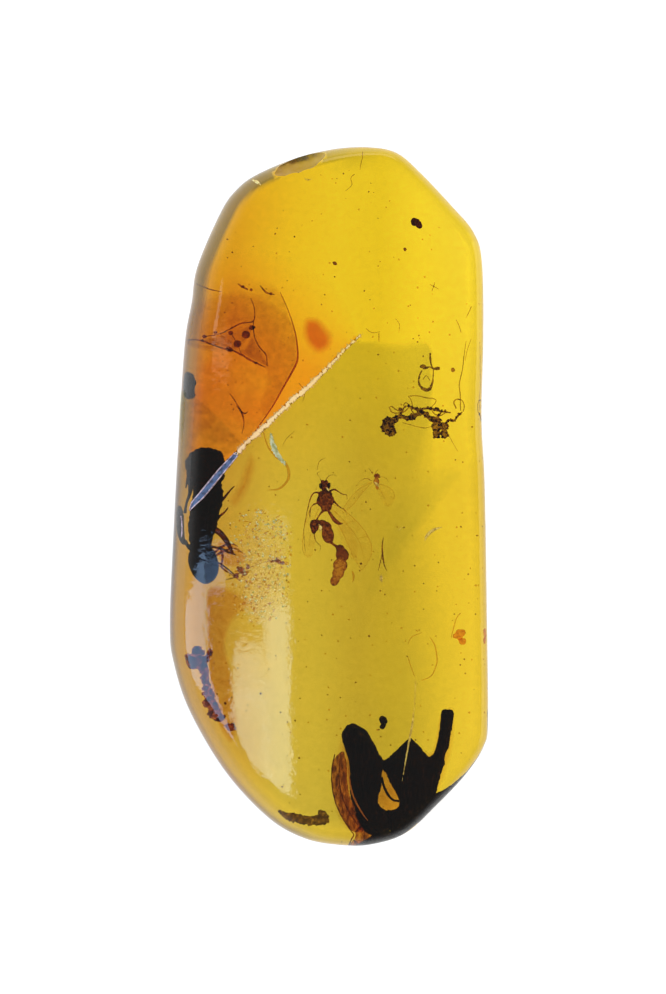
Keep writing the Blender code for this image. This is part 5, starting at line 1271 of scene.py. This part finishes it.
def rough_grain(x, y, z, size, seed, lumps=0.25, detail=3):
    """A lumpy grain about a point."""
    mesh = bead((0, 0, 0), size, seed * 40.0, detail)
    for vertex in mesh.vertices:
        vertex.co *= 1 + lumps * noise.noise(vertex.co / (0.5 * size[0]) + Vector((seed, 0, 0)))
        vertex.co += Vector((x, y, z))
    return mesh


red_brown, tree, shader = new_material("red-brown grain", {"IOR": 1.1, "Roughness": 0.7})
here = add(tree, "ShaderNodeTexCoord").outputs["Object"]
crumb = add(tree, "ShaderNodeTexNoise", {"Scale": 1 / (0.12 * MM), "Detail": 3.0}, {"Vector": here})
hue = add(tree, "ShaderNodeValToRGB", {"stops": ((0.4, "#4c1808"), (0.65, "#6e2a0c"))}, {0: crumb.outputs[0]})
tree.links.new(hue.outputs["Color"], shader.inputs["Base Color"])
settle("black_grain", joined([
    rough_grain(3.46, 10.92, 4.3, (0.36, 0.32, 0.26), 1, 0.4), rough_grain(3.60, 10.80, 4.3, (0.28, 0.28, 0.2), 2, 0.4)]),
    [red_brown], ["square_grain"])
settle("brown_grain", joined([
    rough_grain(2.20, -8.92, 4.3, (0.32, 0.30, 0.28), 3, 0.4), rough_grain(2.18, -9.16, 4.3, (0.22, 0.28, 0.2), 4, 0.4)]),
    [dark_scrap], ["round_grain"])
orange_drop, tree, shader = new_material("dark resin drop", {"Transmission Weight": 1.0, "IOR": 1.03, "Roughness": 0.1})
here = add(tree, "ShaderNodeTexCoord").outputs["Object"]
cloudy = add(tree, "ShaderNodeTexNoise", {"Scale": 1 / (0.15 * MM), "Detail": 2.0}, {"Vector": here})
hue = add(tree, "ShaderNodeValToRGB", {"stops": ((0.35, "#d08a48"), (0.62, "#f4bc78"))}, {0: cloudy.outputs[0]})
tree.links.new(hue.outputs["Color"], shader.inputs["Base Color"])
settle("resin_drop", joined([
    rough_grain(5.18, -5.52, 4.3, (0.46, 0.40, 0.3), 5, 0.5), rough_grain(5.32, -5.78, 4.3, (0.26, 0.30, 0.24), 6, 0.4)]),
    [orange_drop], ["resin_grain"])

# --- The specks, hairs and glints ---
# What every old piece of amber holds: dust, hairs, flat bubbles, small fractures and the
# crazing of a skin that has dried out. The fractures and the crazing are made bright by a
# painted glow, and the crazing's brown flecks are painted shade.

SPECKS = (
    (3.06, 9.84, 0.15), (0.28, 9.29, 0.17), (-3.84, 10.22, 0.06), (-1.99, 10.70, 0.05),
    (4.20, 8.37, 0.06), (1.63, -5.59, 0.09), (-4.04, -8.29, 0.12), (-2.64, -7.89, 0.1),
    (4.97, 5.03, 0.19), (-2.68, 5.79, 0.07), (-1.15, 12.91, 0.08), (1.31, -2.70, 0.1),
    (1.27, -2.98, 0.07), (2.07, -3.78, 0.07), (-4.61, 2.74, 0.05), (0.06, -3.78, 0.04),
    (-1.15, -5.79, 0.05), (1.11, -8.21, 0.04), (4.32, -3.78, 0.05), (-1.15, -0.16, 0.05),
    (0.86, 1.37, 0.06), (-3.40, 9.17, 0.05),
)
# x, y and radius along each hair; all of them lie just under the front
HAIRS = (
    ((1.07, 12.87, 0.01), (0.91, 12.71, 0.014), (0.95, 12.43, 0.01), (0.70, 12.19, 0.008)),
    ((1.39, 13.56, 0.01), (1.31, 13.28, 0.012), (1.27, 13.03, 0.008)),
    ((5.69, 7.56, 0.012), (5.61, 7.36, 0.014), (5.49, 7.12, 0.008)),
    ((5.09, 7.04, 0.01), (5.21, 6.80, 0.012), (5.29, 6.52, 0.008)),
    ((2.02, 6.52, 0.012), (2.02, 6.36, 0.018), (2.02, 6.16, 0.01)),
    ((4.04, 8.45, 0.008), (4.20, 8.37, 0.012), (4.41, 8.25, 0.008)),
    ((4.24, 8.53, 0.008), (4.20, 8.37, 0.012), (4.12, 8.17, 0.008)),
    ((2.19, -1.65, 0.012), (2.15, -2.01, 0.026), (2.17, -2.41, 0.034), (2.23, -2.74, 0.022),
     (2.33, -2.98, 0.01)),
    ((2.17, -2.17, 0.012), (2.07, -2.66, 0.016), (1.99, -2.98, 0.01)),
    ((-5.29, 8.53, 0.018), (-4.93, 8.41, 0.02), (-4.53, 8.25, 0.022), (-4.20, 8.17, 0.016)),
    ((-3.88, 4.10, 0.016), (-3.64, 3.74, 0.02), (-3.40, 3.30, 0.036), (-3.32, 2.90, 0.02),
     (-3.40, 2.49, 0.014)),
    ((-3.64, 3.62, 0.012), (-3.32, 3.30, 0.03), (-3.16, 3.38, 0.014)),
    ((-1.30, 2.60, 0.006), (-1.62, 2.30, 0.008), (-1.79, 2.01, 0.006)),
    ((5.69, 6.28, 0.006), (5.53, 5.79, 0.01), (5.45, 5.39, 0.008)),
    ((4.49, 3.06, 0.008), (4.89, 2.25, 0.008), (5.17, 1.77, 0.006)),
    ((1.51, 6.68, 0.01), (1.75, 6.52, 0.012), (2.07, 6.56, 0.008)),
    ((2.68, 7.08, 0.008), (2.84, 6.84, 0.01), (2.80, 6.52, 0.006)),
    ((-3.16, 8.25, 0.03), (-3.40, 8.37, 0.04), (-3.56, 8.49, 0.02)),
    ((-2.68, 8.41, 0.016), (-2.43, 8.13, 0.036), (-2.11, 8.05, 0.014)),
    ((-1.15, 4.51, 0.01), (-0.91, 4.18, 0.012), (-0.99, 3.78, 0.008)),
    ((-0.42, 1.05, 0.008), (-0.34, 1.37, 0.01), (-0.10, 1.53, 0.006)),
)
LOOPS = (
    ((4.04, -5.63, 0.012), (4.24, -5.95, 0.026), (4.32, -6.36, 0.03), (4.32, -6.68, 0.026),
    (4.12, -7.16, 0.022), (3.72, -7.36, 0.016),),
    ((3.72, -5.45, 0.012), (3.32, -5.63, 0.018), (3.18, -5.91, 0.014),),
    ((3.18, -6.44, 0.016), (3.28, -6.76, 0.018), (3.44, -7.20, 0.012),),
    ((5.27, -4.67, 0.018), (5.11, -4.87, 0.022), (4.99, -5.27, 0.022), (4.89, -5.67, 0.014),),
    ((4.41, -11.75, 0.014), (4.65, -11.87, 0.022), (4.61, -12.11, 0.022), (4.36, -12.31, 0.016),
    (4.24, -12.15, 0.014),),
)
CRESCENT = (
    (-2.31, 2.49, 0.03), (-2.23, 2.09, 0.09), (-2.11, 1.77, 0.11), (-1.91, 1.49, 0.08),
    (-1.71, 1.25, 0.03),
)
CRESCENT_SHADE = (
    (-2.59, 2.57, 0.02), (-2.43, 2.01, 0.03), (-2.11, 1.57, 0.03), (-1.71, 1.29, 0.05),
    (-1.57, 0.89, 0.06), (-1.67, 0.56, 0.05), (-1.99, 0.28, 0.04), (-2.43, 0.24, 0.01),
)
NEEDLE = (
    (3.40, -8.65, 0.012), (3.36, -9.09, 0.034), (3.28, -9.53, 0.04), (3.18, -10.06, 0.03),
    (3.08, -10.62, 0.02), (2.96, -11.34, 0.006),
)
NEEDLE_TRACE = (
    (3.48, -7.40, 0.004), (3.46, -8.01, 0.006), (3.42, -8.61, 0.006),
)
# Glints, as outlines' middle lines with half widths
GLINTS = (
    ((3.84, -1.81, 0.01), (3.92, -1.61, 0.05), (4.12, -1.41, 0.06), (4.36, -1.29, 0.04),
     (4.53, -1.25, 0.01)),
    ((2.70, -1.45, 0.004), (2.84, -1.33, 0.012), (3.00, -1.17, 0.004)),
    ((-0.98, 12.72, 0.01), (-0.82, 12.66, 0.03), (-0.66, 12.70, 0.01)),
    ((2.11, -3.14, 0.01), (2.11, -3.26, 0.06), (2.13, -3.42, 0.02)),
    ((-3.04, 12.67, 0.02), (-2.88, 12.59, 0.06), (-2.72, 12.47, 0.02)),
    ((1.83, 0.56, 0.01), (1.93, 0.48, 0.05), (2.03, 0.36, 0.01)),
    ((-0.38, -1.13, 0.01), (-0.30, -1.25, 0.05), (-0.34, -1.41, 0.02)),
    ((-0.10, 0.36, 0.01), (-0.04, 0.28, 0.04), (0.02, 0.20, 0.01)),
)
CRAZED = (
    (-3.72, -0.72, 0.5), (-2.68, -0.56, 0.5), (-1.79, -0.97, 0.4), (-1.47, -1.97, 0.3),
    (-1.55, -3.38, 0.3), (-1.79, -4.67, 0.3), (-2.68, -5.15, 0.4), (-3.56, -4.83, 0.4),
    (-3.88, -3.78, 0.4), (-3.64, -2.57, 0.4), (-4.04, -1.77, 0.4),
)
DUST_GROUND = ((-4.6, 9.5), (-1.0, 12.4), (1.8, 12.8), (5.2, 9.6), (5.7, 2.0), (5.9, -8.4), (3.4, -12.2), (-1.4, -12.6),
               (-4.6, -8.4), (-5.2, -3.0), (-5.0, 4.0))


def near_front(paths, depth):
    """Paths of x, y and radius, laid at a depth under the front."""
    return [[(x, y, front_height(x, y) - depth, r) for x, y, r in path] for path in paths]


hair_brown, tree, shader = new_material("fine hair", {"Transmission Weight": 1.0, "IOR": 1.02, "Roughness": 0.1})
here = add(tree, "ShaderNodeTexCoord").outputs["Object"]
uneven = add(tree, "ShaderNodeTexNoise", {"Scale": 1 / (0.4 * MM), "Detail": 2.0}, {"Vector": here})
hue = add(tree, "ShaderNodeValToRGB", {"stops": ((0.4, "#7a5028"), (0.6, "#b48c4c"))}, {0: uneven.outputs[0]})
tree.links.new(hue.outputs["Color"], shader.inputs["Base Color"])
settle("hairs", strands(near_front(HAIRS, 0.9), 6, 0.06, 0.8, 0.1), [hair_brown])
settle("flat_bubbles", strands(near_front(LOOPS, 1.0), 6, 0.06, 0.8, 0.2), [vein_brown])
settle("specks", joined([rough_grain(x, y, front_height(x, y) - 1.2, (r, r * 0.9, r * 0.8), 7 + k, 0.4, 2)
                         for k, (x, y, r) in enumerate(SPECKS)]), [hair_brown])
ground = pillow(DUST_GROUND, under_front(0.5), 0.01, 0.02, 0.4)
settle("dust", joined([scattered(ground.copy(), lump(5), 0.30, 0.03, 0.07, 2.6, 3.0, 11)]), [hair_brown])
settle("faint_dust", scattered(ground, lump(6), 0.45, 0.03, 0.08, 2.6, 3.0, 12), [vein_brown])

# Glints: the small breaks' brightness is a painted highlight, a faint glow for the light that they throw back.
glint, tree, shader = new_material("bright break", {
    "Roughness": 0.3, "IOR": AMBER_IOR, "Emission Color": linear("#f8dc80"), "Emission Strength": 0.30})
here = add(tree, "ShaderNodeTexCoord").outputs["Object"]
uneven = add(tree, "ShaderNodeTexNoise", {"Scale": 1 / (0.12 * MM), "Detail": 2.0}, {"Vector": here})
hue = add(tree, "ShaderNodeValToRGB", {"stops": ((0.38, "#a88838"), (0.6, "#fff0b0"))}, {0: uneven.outputs[0]})
tree.links.new(hue.outputs["Color"], shader.inputs["Base Color"])
shines = [pillow(ribbon_outline(line), under_front(0.015), 0.02, 0.03, 0.03, 0.0, 0.1, 0.02)
          for line in (NEEDLE, NEEDLE_TRACE, *GLINTS)]
settle("glints", joined(shines), [glint])
# The milky break glows faintly: a painted highlight for the light that its many small gaps throw back.
painted_milky_glow, tree, shader = new_material("milky break", {
    "Roughness": 0.4, "IOR": AMBER_IOR, "Emission Color": linear("#c8c888"), "Emission Strength": 0.10})
here = add(tree, "ShaderNodeTexCoord").outputs["Object"]
uneven = add(tree, "ShaderNodeTexNoise", {"Scale": 1 / (0.15 * MM), "Detail": 3.0}, {"Vector": here})
hue = add(tree, "ShaderNodeValToRGB", {"stops": ((0.36, "#a0a058"), (0.6, "#e4e4b8"))}, {0: uneven.outputs[0]})
tree.links.new(hue.outputs["Color"], shader.inputs["Base Color"])
settle("crescent", pillow(ribbon_outline(CRESCENT), under_front(0.0), 0.02, 0.03, 0.03, 0.0, 0.1, 0.05),
       [painted_milky_glow])
settle("crescent_shade", strands(near_front([CRESCENT_SHADE], 0.15), 8, 0.06, 0.6, 0.1), [vein_brown])
# A glint on the rim: a painted highlight, in the glowing material of the break's edges.
RIM_GLINT = ((-5.91, -0.80), (-5.88, -1.05), (-5.87, -1.37), (-5.89, -1.65),)
settle("rim_glint", strands([[(x, y, 5.56, 0.024) for x, y in RIM_GLINT]], 6, 0.05, 0.8, 0.1), [painted_pale_highlight])

ground = pillow(CRAZED, under_front(-0.002), 0.004, 0.02, 0.16)
settle("crazing", joined([
    scattered(ground.copy(), lump(8), 9.0, 0.02, 0.09, 0.02, 0.5, 21),
    scattered(ground.copy(), bead((0, 0, 0), (1.0, 0.3, 0.3), 20, 1), 4.0, 0.05, 0.16, 0.02, 0.5, 22)]),
    [painted_milky_glow])
settle("crazing_shade", joined([
    scattered(ground.copy(), lump(9), 6.0, 0.04, 0.12, 0.2, 0.5, 23),
    scattered(ground, bead((0, 0, 0), (1.0, 0.2, 0.2), 20, 1), 6.0, 0.08, 0.26, 0.2, 0.5, 24)]),
    [vein_brown])

# --- The violet bits ---
# Small torn bits of tissue beside the beetle's tail, and the threads they hang on.

VIOLET_BITS = (
    (-3.44, -2.94, 0.34), (-3.28, -3.10, 0.26), (-3.60, -3.18, 0.22), (-3.16, -2.82, 0.18),
    (-1.99, -2.57, 0.26), (-1.79, -2.66, 0.18), (-2.19, -2.61, 0.14),
)
TAIL_THREADS = (
    ((-4.61, -2.41, 0.05), (-4.28, -2.09, 0.05), (-3.88, -1.89, 0.04), (-3.56, -2.01, 0.02)),
    ((-4.61, -2.49, 0.04), (-4.20, -2.25, 0.05), (-3.72, -2.09, 0.03), (-3.40, -2.25, 0.02)),
    ((-4.53, -2.66, 0.03), (-4.12, -2.90, 0.02), (-3.64, -3.26, 0.016), (-3.40, -3.42, 0.01)),
    ((-4.28, -2.01, 0.03), (-4.16, -2.41, 0.05), (-4.20, -2.82, 0.04), (-3.96, -3.06, 0.02)),
    ((-3.56, -3.14, 0.02), (-3.16, -2.90, 0.012), (-2.59, -2.66, 0.01), (-2.11, -2.57, 0.016)),
)
bits = [rough_grain(x, y, front_height(x, y) - 1.0, (r, r * 0.8, 0.10), 40 + k, 0.6) for k, (x, y, r) in enumerate(VIOLET_BITS)]
bits.append(strands(near_front(TAIL_THREADS, 1.0), 6, 0.05, 1.2, 0.1))
settle("violet_bits", joined(bits), [violet_crumb])

# --- The halo round the bark ---
# A brown-orange tint round the bark: painted light, for the glow that bounces off the bark into the resin.

BARK_HALO = (
    (0.38, -9.90, 0.5), (0.86, -9.25, 0.5), (1.75, -9.66, 0.4), (2.23, -10.46, 0.3),
    (2.80, -10.20, 0.3), (3.30, -9.70, 0.3), (4.08, -10.20, 0.3), (4.45, -8.75, 0.2),
    (5.00, -8.50, 0.3), (5.00, -10.02, 0.4), (4.50, -11.60, 0.4), (3.80, -12.40, 0.3),
    (2.90, -13.10, 0.2), (1.60, -13.50, 0.2), (0.70, -13.30, 0.3), (0.22, -12.23, 0.4),
)
# a painted glow of bounced light, given as a brown-orange tint round the bark
painted_bark_halo = new_tint("bark juice", "#d8a878", "#ecc89c", 0.5, 0.25)
settle("bark_stain", pillow(BARK_HALO, under_front(0.9), FLOW_THICKNESS, 0.02, 0.10), [painted_bark_halo])
